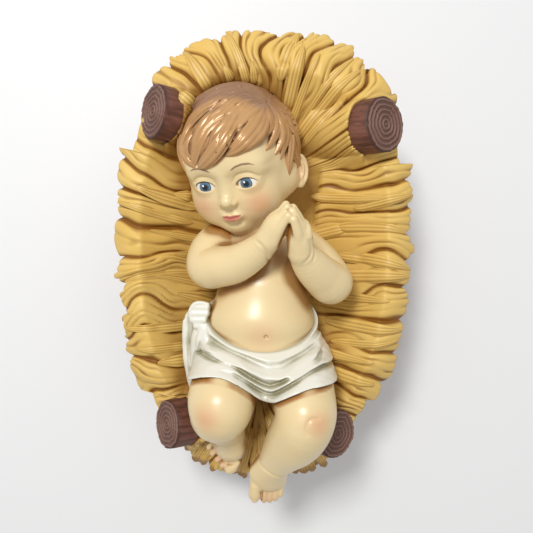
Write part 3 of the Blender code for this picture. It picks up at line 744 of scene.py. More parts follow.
def shapeFoot(block, side):
    middle, ahead, inward, sizes = body["feet"][side]
    ahead, inward = unit(ahead), np.array(inward, float)
    inward = unit(inward - ahead * (inward @ ahead))
    top = np.cross(inward, ahead)
    top = top if top[2] > 0 else -top
    turn = np.stack([inward, ahead, top], 1)
    reach, ballSizes, rooted = body["balls"][side]
    lump(block, middle, sizes, turn, blend=5)
    lump(block, middle + ahead * reach - top * 1.5, ballSizes, turn, blend=4)
    for index, toe in enumerate(body["toes"][side]):
        toe = np.array(toe, float)
        radius = 4.5 if index == 0 else 2.75 - 0.12 * index
        root = toe - ahead * rooted + top * 0.6
        roll(block, [(*root, radius * 0.8), (*(toe + top * 0.8 - ahead * 1.5), radius * 0.95),
                     (*toe, radius)], 1.4 if index == 0 else 0.6)
        nail = toe + ahead * radius * 0.35 + top * radius * 0.8
        lump(block, nail, (radius * 0.52, radius * 0.5, radius * 0.28), turn, 0.25)


# The loincloth: wound round the hips and thighs, gathered at the crotch and tied at the right hip

cloth = {
    "voxel": 0.6, "thickness": 2.8, "waist": (-22.8, -0.93, 100), "lowestWaist": 84, "edge": 0.7,
    "hem": [(-60, -72), (-46, -69), (-39.3, -65.5), (-33.8, -63.2), (-27.3, -62.1), (-21.1, -62.4),
            (-14.9, -63.8), (-8.6, -66.7), (-2.4, -71), (2.7, -75.7), (7.3, -78.6), (11.6, -77.5),
            (16.2, -74), (22, -70.4), (27.8, -67.5), (35.1, -65), (43.5, -63.8), (52, -63.2), (66, -64)],
    # Folds seen from above: knots, height, and how wide each is towards the head and towards the feet
    "folds": [
        ([(-42, -33), (-35.7, -37.6), (-28.2, -40.4), (-17.3, -44.2), (-7.3, -47.3), (3.7, -49.2),
          (15.2, -48.8), (26, -45.9), (34.7, -42.1), (40.9, -37.5), (45, -32)], 1.6, 1.8, 2.6),
        ([(-30.5, -43.7), (-20.2, -47.3), (-10.3, -50.6), (0.1, -53.9), (7.9, -56.4), (16.6, -55.2),
          (24.8, -51), (31.2, -46.5), (38.1, -42.8)], -2.7, 3.6, 3.8),
        ([(-35.4, -47.1), (-27.4, -48), (-18.9, -51.5), (-9.8, -54.5), (-2.1, -58.2), (5.7, -61.8),
          (15.7, -61.5), (23, -57.8), (29.8, -52.5), (36.5, -47.6), (41.7, -43.6)], 2.9, 3, 1.9),
        ([(-42, -51.5), (-32.9, -52.1), (-26.3, -53.6), (-17.1, -55.3), (-9.4, -58.3), (-3, -62.4),
          (4.7, -65.7), (9.8, -67), (14, -65.5), (20, -61.5)], -2.3, 1.5, 1.5),
        ([(-25.2, -56.1), (-18.2, -56.8), (-11.8, -59), (-6.1, -62.2), (-0.3, -65.8), (5.5, -68.8),
          (10.5, -69.6), (15.3, -66.8), (21.8, -62.5), (27.9, -58.4), (34.8, -54.4), (42.4, -51.6),
          (50.2, -50.9)], 1.5, 1.6, 1.4),
        ([(-22.9, -57.9), (-14.2, -59.3), (-7.3, -62.9), (-0.2, -67.8), (5.6, -71.4), (10.7, -72.2),
          (14.8, -70), (20.1, -66), (27.9, -60.7), (35.4, -56.2), (43, -53.7), (52, -54)], -2.3, 1.4, 1.8),
        ([(-24, -60), (-15.2, -61.6), (-5.7, -67), (2.6, -74)], -0.8, 1.2, 1.4),
        ([(39, -50.3), (42.3, -45.3), (45, -42.4)], -1.6, 1.4, 1.4),
    ],
    "hemRoll": (0.5, 1.4),
    # The knot's loop, its hanging end and the gathers between them: knots, how flat, and grooves
    "bow": [
        ([(-42.3, -22.2, 109.2, 2.7), (-34.6, -21.8, 110, 2.7)], 1, 0),
        ([(-43.2, -26.4, 109.2, 2.7), (-34.4, -25.8, 110, 2.7)], 1, 0),
        ([(-42.8, -30.6, 109, 2.7), (-36, -30.2, 109.6, 2.7)], 1, 0),
        ([(-41, -34.4, 108.6, 2.6), (-38, -34.4, 108.8, 2.6)], 1, 0),
        ([(-34, -19.4, 111.4, 0.9), (-38, -18.8, 111.4, 1.2), (-43, -19.8, 111, 1.2),
          (-46, -25, 110.6, 1.1), (-45, -31, 110, 0.7)], 1, 0),
        ([(-36, -25, 102, 6), (-35.5, -33, 103, 6.5), (-34.5, -41, 104, 6)], 1, 0),
        ([(-38, -33, 106, 4), (-40, -42, 105, 4.4), (-41, -52, 103, 4), (-42, -62, 100, 3)], 0.9, 0),
        ([(-37.5, -38, 109.5, 1.8), (-38.5, -44, 109.5, 2.4), (-39, -50, 107, 2)], 0.9, 0),
        ([(-35, -36, 107, 4.6), (-32.8, -44, 109.5, 4.6), (-32, -50, 113, 3)], 1, 0),
    ],
    "tail": [
        ([(-46.3, -30, 100, 4.6), (-46.2, -41, 100, 4.9), (-45.6, -49, 98.5, 4.6)], 0.62, 4),
        ([(-46.4, -52, 99, 4.8), (-45.6, -58, 99, 5), (-44.6, -66, 97.5, 4.2), (-44.2, -73, 96, 3.2),
          (-44.4, -79, 95, 1)], 0.6, 4),
        ([(-50.2, -33, 101, 1.3), (-49.8, -43, 101, 1.4), (-49.4, -50, 99.5, 1.2)], 1, 0),
    ],
}


def between(knots, x):
    # A soft curve y(x) through knots
    xs, ys = np.array(knots, float).T
    fine = np.linspace(xs[0], xs[-1], 240)
    values = np.interp(fine, xs, ys)
    kernel = np.hanning(17)
    padded = np.pad(values, 8, mode="reflect", reflect_type="odd")
    return np.interp(x, fine, np.convolve(padded, kernel / kernel.sum(), "valid"))


def sculptCloth():
    block = clay((-62, -98, 58), (66, -8, 150), cloth["voxel"])
    for centre, radii in body["trunk"][2:]:
        lump(block, centre, radii, blend=6)
    for side in ("right", "left"):
        roll(block, body["legs"][side][:4], 4)
    lump(block, (9, -64, 122), (22, 13, 9.5), blend=6)
    field = block["field"]
    field -= cloth["thickness"]
    _, (x, y, z) = window(block, (-62, -98, 58), (66, -8, 150))
    x1, y1, z1 = x[:, 0, 0], y[0, :, 0], z[0, 0, :]
    for knots, height, toHead, toFeet in cloth["folds"]:
        line = between(knots, x1)[:, None]
        slope = np.gradient(line[:, 0], x1)[:, None]
        away = (y1[None, :] - line) / np.sqrt(1 + slope**2)
        ends = ease((x1 - knots[0][0] + 6) / 10) * ease((knots[-1][0] + 6 - x1) / 10)
        hump = np.exp(-((away / np.where(away > 0, toHead, toFeet)) ** 2)) * ends[:, None]
        front = ease((z1 - 90) / 14)
        field -= (height * hump)[:, :, None] * front[None, None, :]
    waistY, waistSlope, waistZ = cloth["waist"]
    above = np.maximum(z, cloth["lowestWaist"]) - waistZ
    waist = (y + 0 * x - waistY - waistSlope * above) / math.hypot(1, waistSlope)
    hem = between(cloth["hem"], x1)[:, None, None] - y + 0 * z
    bead, beadWidth = cloth["hemRoll"]
    field -= bead * np.exp(-(((hem + 1.6) / beadWidth) ** 2))
    for edge in (waist, hem):
        old, new = -field, -edge
        h = np.clip(0.5 + 0.5 * (old - new) / cloth["edge"], 0, 1)
        field[:] = -(old + (new - old) * h - cloth["edge"] * h * (1 - h))
    for knots, flat, grooves in [*cloth["bow"], *cloth["tail"]]:
        roll(block, knots, 1.6, flat=flat, grooves=grooves, depth=0.2)
    return block


# The eyes: painted balls behind the lids

eyes = {"pupil": 11.5, "iris": 26, "ring": 23, "sides": 96, "rings": 72, "glint": (-7, 8), "glintSize": 4.2}


def makeEyes(material):
    theta = np.linspace(0, math.pi, eyes["rings"])
    phi = np.arange(eyes["sides"]) * 2 * math.pi / eyes["sides"]
    local = np.stack([np.outer(np.sin(theta), np.cos(phi)), np.outer(np.sin(theta), np.sin(phi)),
                      np.outer(np.cos(theta), np.ones_like(phi))], -1)
    rings = local[1:-1].reshape(-1, 3)
    points = np.concatenate([[[0, 0, 1.0]], rings, [[0, 0, -1.0]]])
    count, faces = eyes["sides"], []
    for k in range(count):
        n = (k + 1) % count
        faces.append((0, 1 + k, 1 + n))
        for ring in range(eyes["rings"] - 3):
            a = 1 + ring * count
            faces.append((a + k, a + count + k, a + count + n, a + n))
        last = 1 + (eyes["rings"] - 3) * count
        faces.append((last + k, len(points) - 1, last + n))
    gx, gy = np.radians(eyes["glint"])
    glint = unit((math.sin(gx), math.sin(gy), 1))
    for side, name in ((-1, "rightEye"), (1, "leftEye")):
        centre = onHead(side * head["eye"][0], head["eye"][1], head["eye"][2])
        vertices = centre + points * head["eyeRadius"] @ headTurn.T
        mesh = bpy.data.meshes.new(name)
        mesh.from_pydata(toMetres(vertices).tolist(), [], faces)
        for key, direction in (("gaze", (0, 0, 1)), ("glint", glint)):
            angle = np.degrees(np.arccos(np.clip(points @ np.array(direction, float), -1, 1)))
            mesh.attributes.new(key, "FLOAT", "POINT").data.foreach_set("value", angle.astype(np.float32))
        mesh.materials.append(material)
        mesh.shade_smooth()
        piece = bpy.data.objects.new(name, mesh)
        bpy.context.scene.collection.objects.link(piece)
        finish(piece, "infant")


# Paint on the infant


def startPaint(name, roughness, coat=0.0, coatRoughness=0.03):
    # Acrylic binder and the resin below it bend light alike; the coat is the varnish
    material = bpy.data.materials.new(name)
    material.use_nodes = True
    shader = material.node_tree.nodes["Principled BSDF"]
    for socket, value in (("Roughness", roughness), ("IOR", 1.49), ("Coat Weight", coat),
                          ("Coat Roughness", coatRoughness)):
        shader.inputs[socket].default_value = value
    return material, material.node_tree, shader


def mottled(tree, scale, detail, first, second):
    # The unevenness of brushed paint: two tones that run into each other
    place = addNode(tree, "ShaderNodeTexCoord")
    cloudy = addNode(tree, "ShaderNodeTexNoise", None, {
        "Vector": place.outputs["Object"], "Scale": scale, "Detail": detail})
    tone = addNode(tree, "ShaderNodeMix", {"data_type": "RGBA"}, {
        0: cloudy.outputs["Fac"], 6: fromHex(first), 7: fromHex(second)})
    return tone.outputs[2]


def layered(tree, colour, layers):
    # Paint over paint: a layer covers where its attribute runs from low to high, up to its greatest share
    for name, fade, low, high, most, above in layers:
        value = addNode(tree, "ShaderNodeAttribute", {"attribute_name": name})
        cover = addNode(tree, "ShaderNodeMapRange", {"interpolation_type": fade}, {
            0: value.outputs["Fac"], 1: low, 2: high, 3: 0.0, 4: most})
        above = above if isinstance(above, bpy.types.NodeSocket) else fromHex(above)
        inputs = {0: cover.outputs[0], 6: colour, 7: above}
        colour = addNode(tree, "ShaderNodeMix", {"data_type": "RGBA"}, inputs).outputs[2]
    return colour


def brushOn(tree, shader, colour, grain, strength):
    # The colour, and a faint relief of dried paint: grain is the noise's scale
    tree.links.new(colour, shader.inputs["Base Color"])
    if grain:
        place = addNode(tree, "ShaderNodeTexCoord")
        noise = addNode(tree, "ShaderNodeTexNoise", None, {
            "Vector": place.outputs["Object"], "Scale": grain, "Detail": 2.0})
        bump = addNode(tree, "ShaderNodeBump", None, {
            "Strength": strength, "Distance": 0.0003, "Height": noise.outputs["Fac"]})
        tree.links.new(bump.outputs["Normal"], shader.inputs["Normal"])


def skinPaint():
    # Cast resin under satin acrylic, airbrushed pink on cheeks, knees and toes; the orange in the creases and
    # the brown under the arms and the chin are painted shade together with an airbrushed wash
    material, tree, shader = startPaint("satin skin acrylic on cast resin", 0.36, 0.3, 0.27)
    colour = layered(tree, mottled(tree, 45.0, 3.0, "#EDD8A9", "#E6CC97"), [
        ("blush", "LINEAR", 0.0, 1.0, 1.0, "#D98B66"),
        # Painted shade: orange in the creases, brown in the broad hollows
        ("crease", "SMOOTHSTEP", 0.35, 1.0, 0.9, "#B06A26"),
        ("hollow", "SMOOTHSTEP", 0.14, 0.66, 0.85, "#9A6522"),
        ("lips", "SMOOTHSTEP", -0.25, 0.25, 1.0, "#CC7B68"),
        ("brow", "SMOOTHSTEP", 0.3, -0.2, 0.8, "#7A553E"),
        ("lash", "SMOOTHSTEP", 0.2, -0.15, 0.95, "#3E2A20"),
    ])
    brushOn(tree, shader, colour, 900.0, 0.05)
    return material


def hairPaint():
    # Bronze-brown acrylic with a pearl sheen; the dark brown between the locks is painted shade together with
    # a wash
    material, tree, shader = startPaint("bronze hair acrylic on cast resin", 0.32, 0.3, 0.25)
    colour = layered(tree, mottled(tree, 60.0, 3.0, "#CDA06C", "#B78753"), [
        ("crown", "SMOOTHSTEP", 0.1, 0.9, 0.8, "#906A55"),
        # Painted shade and wash between the locks
        ("crease", "SMOOTHSTEP", 0.2, 0.8, 0.9, "#6E482E"),
    ])
    shader.inputs["Metallic"].default_value = 0.15
    brushOn(tree, shader, colour, 1100.0, 0.06)
    return material


def clothPaint():
    # Off-white acrylic with a pearl glaze; the grey-green in the valleys and the warm tone along its edges
    # are painted shade
    material, tree, shader = startPaint("pearl white acrylic on cast cloth", 0.34, 0.3, 0.3)
    colour = layered(tree, mottled(tree, 55.0, 3.0, "#EEECE1", "#E5E2D3"), [
        # Painted shade in the valleys and along the edges
        ("hollow", "SMOOTHSTEP", 0.08, 0.42, 0.8, "#BDB9A2"),
        ("crease", "SMOOTHSTEP", 0.2, 0.9, 0.9, "#99916F"),
    ])
    brushOn(tree, shader, colour, 800.0, 0.05)
    return material


def eyePaint():
    # Gloss enamel: black pupil, blue iris in a dark ring, warm white, and a painted glint. The gaze and the
    # glint attributes are angles in degrees
    material, tree, shader = startPaint("gloss eye enamel", 0.12, 0.8, 0.05)
    pupil, iris, ring, glint = eyes["pupil"], eyes["iris"], eyes["ring"], eyes["glintSize"]
    colour = layered(tree, fromHex("#34566F"), [
        ("gaze", "SMOOTHSTEP", pupil, iris, 1.0, "#7396AC"),
        ("gaze", "SMOOTHSTEP", pupil + 0.8, pupil - 0.8, 1.0, "#0D0F14"),
        ("gaze", "SMOOTHSTEP", ring - 1.2, ring + 1.2, 1.0, "#16202C"),
        ("gaze", "SMOOTHSTEP", iris - 0.8, iris + 0.8, 1.0, "#F1EEE4"),
        ("glint", "SMOOTHSTEP", glint + 0.6, glint - 0.6, 1.0, "#FFFFFF"),
    ])
    brushOn(tree, shader, colour, 0, 0)
    return material


blushSpots = [  # place, reach and strength
    (onHead(17, -25, 27), 10, 0.65), (onHead(-17, -25, 27), 10, 0.65), ((-28, -86, 148), 10, 0.5),
    ((39.5, -85, 151), 9, 0.5), ((3.6, -38, 133), 13, 0.3), ((-24, -126, 100), 11, 0.45),
    ((12, -152, 99), 12, 0.4), (onHead(38, -16, -3), 9, 0.3),
]
# Painted shade and brown wash on the chest between the arms
chestShadeAndWash = ((11.5, 15, 126), 12, 0.62)  # between the arms


def blushAt(vertices):
    total = np.zeros(len(vertices))
    for place, reach, strength in blushSpots:
        far = np.linalg.norm(vertices - np.array(place), axis=1) / reach
        total = np.maximum(total, strength * np.exp(-(far**2) * 1.5))
    return total


def facePaint(vertices, onFace):
    # Distances in millimetres from the painted lines: brows, lashes and lips
    if not onFace:
        return {"brow": np.full(len(vertices), 5), "lash": np.full(len(vertices), 5),
                "lips": np.full(len(vertices), -5)}
    spot = headPlaces(vertices)
    side, up, front = np.abs(spot[:, 0]), spot[:, 1], spot[:, 2]
    browLine = between([(5, -3), (7, -1.6), (10, 0), (14, 0.9), (18, 0.5), (22, -1.4), (25, -3.5)], side)
    browWidth = 0.62 * ease((side - 5.5) / 3) * ease((22.5 - side) / 6)
    brow = np.where(front > 15, np.abs(up - browLine) - browWidth + (browWidth < 0.05), 5)
    lash = np.full(len(vertices), 5.0)
    for sign in (-1, 1):
        a, b, c = eyeFrame(vertices, sign)
        top = eyeOpening(a / head["eyeWidth"])[0]
        off = np.abs(b - top - 0.35) - 0.58 + 0.06 * np.abs(a)
        lash = np.minimum(lash, np.where((np.abs(a) < head["eyeWidth"]) & (c > 3), off, 5))
    m, w = head["mouth"], head["mouthWidth"]
    share = np.clip(side / w, 0, 1)
    over = m + 0.6 * share + 2.0 * (1 - share**1.7) - 0.6 * np.exp(-((side / 1.2) ** 2))
    under = m + 0.4 * share - 2.7 * (1 - share**2) ** 0.8
    lips = np.where(front > 25, np.minimum(over - up, up - under), -5)
    return {"brow": brow, "lash": lash, "lips": np.where(side < w + 0.3, lips, -5)}


def makeInfant():
    skull = sculptSkull()
    blocks = {"head": sculptHead(skull), "body": sculptBody(), "hair": sculptHair(skull),
              "cloth": sculptCloth()}
    report("clay pressed")
    skinAcrylic = skinPaint()
    pieces = []
    for name, part, material, slotName, reach in (
        ("infantBody", "body", skinAcrylic, "painted_skin", 3.5),
        ("infantHead", "head", skinAcrylic, "painted_skin", 2.6),
        ("infantHair", "hair", hairPaint(), "painted_hair", 1.8),
        ("infantCloth", "cloth", clothPaint(), "painted_cloth", 3.0),
    ):
        vertices, quads = skin(blocks[part])
        normals = normalsOf(vertices, quads)
        around = [blocks[part]] if part == "hair" else list(blocks.values())
        values = {"crease": crease(vertices, normals, around, reach), "blush": blushAt(vertices)}
        pieces.append((name, part, material, slotName, vertices, quads, normals, values))
    cloud = cloudOf(np.concatenate([piece[4][::3] for piece in pieces]))
    for name, part, material, slotName, vertices, quads, normals, values in pieces:
        # Broad hollows are darkened with painted shade and wash
        if part in ("body", "cloth"):
            values["hollow"] = hollows(vertices, normals, cloud, (5, 8, 11) if part == "body" else (4, 7))
        if slotName == "painted_skin":
            values.update(facePaint(vertices, part == "head"))
        if part == "body":
            # Painted shade and wash darken the chest between the arms
            place, reach, strength = chestShadeAndWash
            far = np.linalg.norm(vertices - np.array(place), axis=1) / reach
            values["hollow"] = np.maximum(values["hollow"], strength * np.exp(-(far**2)))
        if part == "head":
            # The throat takes the painted shade and wash, the cheek beside the hands doesn't
            _, up, front = headPlaces(vertices).T
            throat = ease((-24 - up) / 8) * ease((16 - front) / 8)
            there = throat > 0
            values["hollow"] = np.zeros(len(vertices))
            deep = hollows(vertices[there], normals[there], cloud, (5, 8, 11))
            values["hollow"][there] = throat[there] * deep
        if part == "hair":
            _, up, front = headPlaces(vertices).T
            values["crown"] = ease((up - 12) / 24) * ease((22 - front) / 14)
        finish(meshPiece(name, vertices, quads, material, values), "infant")
    makeEyes(eyePaint())
    report("infant skinned")
    return list(blocks.values()), cloud


# The straw bed: bundles laid from the spine of the bed out to its egg-shaped rim

bed = {
    "length": 307, "width": 204, "turn": 2.2, "power": 2.45, "middle": (1.5, 10), "swell": 0.075,
    "headRim": 130, "sideRim": 111, "footRim": 88, "hollow": 64, "pillow": 24, "thickness": 16,
    "brim": 8, "droop": 12, "crest": 0.8, "bundles": 44, "relief": 4.5,
    "columns": 32, "rings": 58, "strandDepth": 1.3, "lineDepth": 0.05, "fray": 2.4, "clearance": 0.5,
    # How much of each log stays bare of straw
    "bareBark": {"headLeft": 7, "headRight": 12.5, "footLeft": 12.5, "footRight": 12.5},
    # Where the rings of the underside lie, as shares of the way out
    "underRings": (1, 0.985, 0.93, 0.86, 0.76, 0.64, 0.5, 0.35, 0.2, 0.06),
    # The pocket beside the head: its left and right edges, its lower and upper ends, and its depth
    "pocket": (4, 37.5, 35, 80, 6),
}


def logEnds():
    # For each log: its name, the middle of its upper end, the way it points there, its diameter and its cut
    ends = []
    lean = math.radians(logs["lean"])
    for pair in ("head", "foot"):
        for side, sign, cut in (("left", -1, logs["leftCut"]), ("right", 1, logs["rightCut"])):
            way = np.array([sign * math.sin(lean), 0, math.cos(lean)])
            top = np.array([sign * logs[f"{pair}Spread"] / 2, logs[f"{pair}Y"], logs[f"{pair}Height"]])
            ends.append((f"{pair}{side.title()}", top, way, logs[f"{pair}Diameter"], cut))
    return ends


def strawShare(x, y):
    x, y = x - bed["middle"][0], y - bed["middle"][1]
    a = math.radians(bed["turn"])
    across = (x * math.cos(a) + y * math.sin(a)) / (bed["width"] / 2)
    along = (y * math.cos(a) - x * math.sin(a)) / (bed["length"] / 2)
    return across, along


def reachOf(x, y):
    across, along = strawShare(x, y)
    across = across / (1 + bed["swell"] * along)
    return (np.abs(across) ** bed["power"] + np.abs(along) ** bed["power"]) ** (1 / bed["power"])


def outlineAt(turn):
    angle = 2 * np.pi * turn
    c, s = np.cos(angle), np.sin(angle)
    power = bed["power"]
    size = (np.abs(c / bed["width"]) ** power + np.abs(s / bed["length"]) ** power) ** (-1 / power) / 2
    x, y = c * size, s * size
    x = x * (1 + bed["swell"] * y / (bed["length"] / 2))
    a = math.radians(bed["turn"])
    spot = [x * math.cos(a) - y * math.sin(a), x * math.sin(a) + y * math.cos(a)]
    return np.stack(spot, -1) + bed["middle"]


def evenTurns(shares):
    # Turns at even distances along the outline, as shares of the way round
    fine = np.arange(721) / 720
    steps = np.linalg.norm(np.diff(outlineAt(fine), axis=0), axis=1)
    reached = np.concatenate([[0], np.cumsum(steps)])
    return np.interp(shares % 1, reached / reached[-1], fine)


def rimHeight(x, y):
    along = strawShare(x, y)[1]
    toHead = bed["sideRim"] + (bed["headRim"] - bed["sideRim"]) * ease(along)
    toFoot = bed["sideRim"] + (bed["footRim"] - bed["sideRim"]) * ease(-along * 1.15 - 0.15)
    return np.where(along > 0, toHead, toFoot)


def floorHeight(y):
    return bed["hollow"] + bed["pillow"] * ease((y / bed["length"] + 0.05) * 3)


def topHeight(x, y):
    # A hollow, a crest and a brim that droops, heaped up where the logs run through
    r, rim, floor, crest = reachOf(x, y), rimHeight(x, y), floorHeight(y), bed["crest"]
    brim = rim - bed["droop"] * np.minimum(1.5, np.maximum(0, (r - crest) / (1 - crest)) ** 2)
    height = np.where(r < crest, floor + (rim - floor) * (np.minimum(r, crest) / crest) ** 2.3, brim)
    for name, top, way, diameter, _ in logEnds():
        aside = np.abs(y - top[1])
        rise = np.sqrt(np.maximum(0, (diameter / 2) ** 2 - aside**2))
        inward = abs(top[0]) - x * np.sign(top[0])
        buried = (inward - rise * way[2]) / abs(way[0])
        cover = top[2] - (inward * way[2] - rise) / abs(way[0]) + bed["relief"] / 2
        blend = ease((buried - bed["bareBark"][name]) / 6) * ease(1 - (aside - diameter / 2) / 8)
        heaped = np.maximum(height, height + (cover - height) * blend)
        height = np.where(inward < abs(top[0]), heaped, height)
    return height


def underHeight(x, y):
    keel = floorHeight(y) - bed["thickness"]
    brim = rimHeight(x, y) - bed["droop"] - bed["brim"]
    return keel + (brim - keel) * np.minimum(1, reachOf(x, y)) ** 2.6


def nearLog(tip):
    near = np.zeros(len(tip), bool)
    for _, top, _, diameter, _ in logEnds():
        level = np.abs(tip[:, 1] - top[1]) < diameter * 0.55
        near |= level & (tip[:, 0] * top[0] > 0) & (np.abs(tip[:, 0]) > abs(top[0]) * 0.8)
    return near


def strawPath(turn, t):
    # A strand leads from the spine of the bed to the outline
    tip = outlineAt(turn)
    rootY = np.clip(tip[..., 1] * 0.85, -0.25 * bed["length"], 0.22 * bed["length"])
    root = np.stack([np.full_like(rootY, bed["middle"][0]), rootY], -1)
    bend = 0.07 * np.sin(2 * np.pi * 5 * turn + 1) + 0.03 * np.sin(2 * np.pi * 13 * turn)
    way = tip - root
    aside = np.stack([-way[..., 1], way[..., 0]], -1)
    return root + way * t[..., None] + aside * (bend * np.sin(np.pi * t) * t)[..., None]


def makeWander(cells, rows, seed):
    # Smooth noise from -1 to 1 over the way round the bed and the way out
    lattice = np.random.default_rng(seed).uniform(-1, 1, (cells, rows + 2))

    def wander(around, out):
        a, b = (around % 1) * cells, np.clip(out, 0, 1) * rows
        i, j = a.astype(int), b.astype(int)
        u, v = ease(a - i), ease(b - j)
        i, n = i % cells, (i + 1) % cells
        near = lattice[i, j] * (1 - u) + lattice[n, j] * u
        far = lattice[i, j + 1] * (1 - u) + lattice[n, j + 1] * u
        return near * (1 - v) + far * v

    return wander


def bundleLook():
    # The same chances as in the CAD model: how far out each bundle reaches and how high it lies
    chance = random.Random(11)
    looks = []
    for _ in range(bed["bundles"]):
        extent, lift = chance.uniform(0.96, 1.0), chance.uniform(-0.3, 0.35)
        ribs = [chance.uniform(-0.2, 0.2) for _ in range(4)]
        looks.append((extent, lift, ribs[2]))
    return np.array(looks)


bundleLooks = bundleLook()
bigWander, strandWander, lineWander = makeWander(37, 5, 3), makeWander(170, 9, 4), makeWander(420, 16, 5)
strandCounts = np.random.default_rng(6).integers(2, 5, bed["bundles"])
bundleLeans = np.random.default_rng(7).uniform(-0.5, 0.5, bed["bundles"])


def strawPlace(around, out):
    # The bundle a point belongs to, the share of the way across it, and the place counted in bundles
    place = around * bed["bundles"] + 0.45 * bigWander(around, out) * ease(out * 1.4)
    place = (place + 0.03 * strandWander(around, out)) % bed["bundles"]
    bundle = place.astype(int)
    return bundle % bed["bundles"], place - bundle, place


def strawRelief(around, out):
    # Height over the smooth bed in millimetres, and how deep in a groove a point lies, which darkens it with
    # painted shade and wash
    bundle, across, place = strawPlace(around, out)
    _, lift, high = np.moveaxis(bundleLooks[bundle], -1, 0)
    after = bundleLooks[(bundle + 1) % bed["bundles"]][..., 1]
    groove = -0.55 + lift * (1 - across) + after * across
    crown = 0.6 + lift + high
    swollen = np.sin(np.pi * across) ** 0.55
    rise = groove + (crown - groove) * swollen + bundleLeans[bundle] * (across - 0.5) * swollen
    strands = across * strandCounts[bundle] + 0.22 * strandWander(around + 0.31, out)
    uneven = 0.7 + 0.55 * strandWander(around + 0.63, out)
    cut = (0.5 + 0.5 * np.cos(2 * np.pi * strands)) ** 2.6 * uneven
    lines = np.cos(2 * np.pi * (place * 8 + 0.3 * lineWander(around, out)))
    fine = bed["lineDepth"] * lines - bed["strandDepth"] * cut
    height = bed["relief"] * rise * ease((out - 0.36) / 0.3) + fine * ease((out - 0.25) / 0.3)
    shadeAndWash = 0.8 * np.clip(1 - swollen * 1.5, 0, 1) ** 0.8 + 0.6 * cut
    return height, np.clip(shadeAndWash, 0, 1)


def strawExtent(around):
    # How far out the straw reaches: notched between the bundles, frayed strand by strand
    bundle, across, _ = strawPlace(around, np.ones_like(around))
    count = bed["bundles"]
    extent = bundleLooks[bundle, 0] - 0.05 * (1 - np.sin(np.pi * across) ** 0.4)
    strand = np.floor(across * strandCounts[bundle]) + bundle * 7
    frayed = np.random.default_rng(8).uniform(-1, 1, 7 * count + 8)[strand.astype(int)]
    extent = extent + bed["fray"] / 120 * frayed
    extent = extent - 0.008 * np.abs(np.cos(np.pi * across * strandCounts[bundle])) ** 3
    return np.where(nearLog(outlineAt(evenTurns(around))), np.minimum(extent, 0.88), extent)


def bedPoint(around, out):
    # A point of the bed's upper side, at a share of the way round and of the way out
    spot = strawPath(evenTurns(around), out)
    height, shadeAndWash = strawRelief(around, out)
    return np.concatenate([spot, (topHeight(spot[..., 0], spot[..., 1]) + height)[..., None]], -1), shadeAndWash


def closedRings(rings):
    # Joins rings of equally many points into one closed skin of quads, with a flat cap in each mouth
    count = rings[0].shape[0]
    vertices = np.concatenate(rings)
    k = np.arange(count)
    quads = []
    for ring in range(len(rings) - 1):
        a, b = ring * count + k, ring * count + (k + 1) % count
        quads.append(np.stack([a, b, b + count, a + count], 1))
    caps = [list(reversed(range(count))), list(range((len(rings) - 1) * count, len(rings) * count))]
    return vertices, np.concatenate(quads), caps


def makeBed(material, infantBlocks, infantCloud):
    around = np.arange(bed["bundles"] * bed["columns"]) / (bed["bundles"] * bed["columns"])
    extent = strawExtent(around)
    rings, shadeAndWashRings = [], []
    for t in np.linspace(0.02, 1, bed["rings"]) ** 0.8:
        points, shadeAndWash = bedPoint(around, t * (1 - (1 - extent) * ease(t)))
        rings.append(points)
        shadeAndWashRings.append(shadeAndWash)
    rim = rings[-1]
    for t in bed["underRings"]:
        mix = 0.5 if t == 1 else 1
        spot = strawPath(evenTurns(around), t * extent)
        under = underHeight(spot[:, 0], spot[:, 1])
        rough = 0.35 * strawRelief(around, np.full_like(around, t))[0]
        rings.append(np.column_stack([spot, rim[:, 2] * (1 - mix) + (under + rough) * mix]))
        # The underside is darkened with painted shade
        shadeAndWashRings.append(np.full(len(around), 0.75))
    vertices, quads, caps = closedRings(rings)
    left, right, low, high, deep = bed["pocket"]
    x, y = vertices[:, 0], vertices[:, 1]
    pocket = ease((right - x) / 1.6) * ease((x - left) / 6) * ease((y - low) / 5) * ease((high - y) / 8)
    pocket[bed["rings"] * len(around):] = 0
    vertices[:, 2] -= deep * pocket
    # Painted shade and wash darken the straw near the infant, and the carving is shallow there
    near = np.exp(-farFrom(infantCloud, vertices) / 13)
    upper = slice(0, bed["rings"] * len(around))
    shallow = 0.85 * ease((near[upper] - 0.45) / 0.35)
    smooth = topHeight(x[upper], y[upper]) - deep * pocket[upper]
    vertices[upper, 2] += (smooth - vertices[upper, 2]) * shallow
    for _ in range(12):
        # The straw is pressed down under the infant
        depth = np.min([sample(block, vertices) for block in infantBlocks], axis=0)
        vertices[:, 2] -= np.clip(bed["clearance"] - depth, 0, 1.5)
    # The floor of the pocket beside the head is darkened with painted shade
    shadeAndWash = np.maximum(np.concatenate(shadeAndWashRings) * (1 - pocket), 0.4 * pocket)
    piece = meshPiece("strawBed", vertices, quads, material, {"shadeAndWash": shadeAndWash, "near": near}, caps)
    return finish(piece, "manger")


wisps = {"count": 64, "halfWidth": 4, "thickness": 0.36, "ridges": 9, "points": 26, "cutEnds": 24,
         "cutWidth": 3.4}


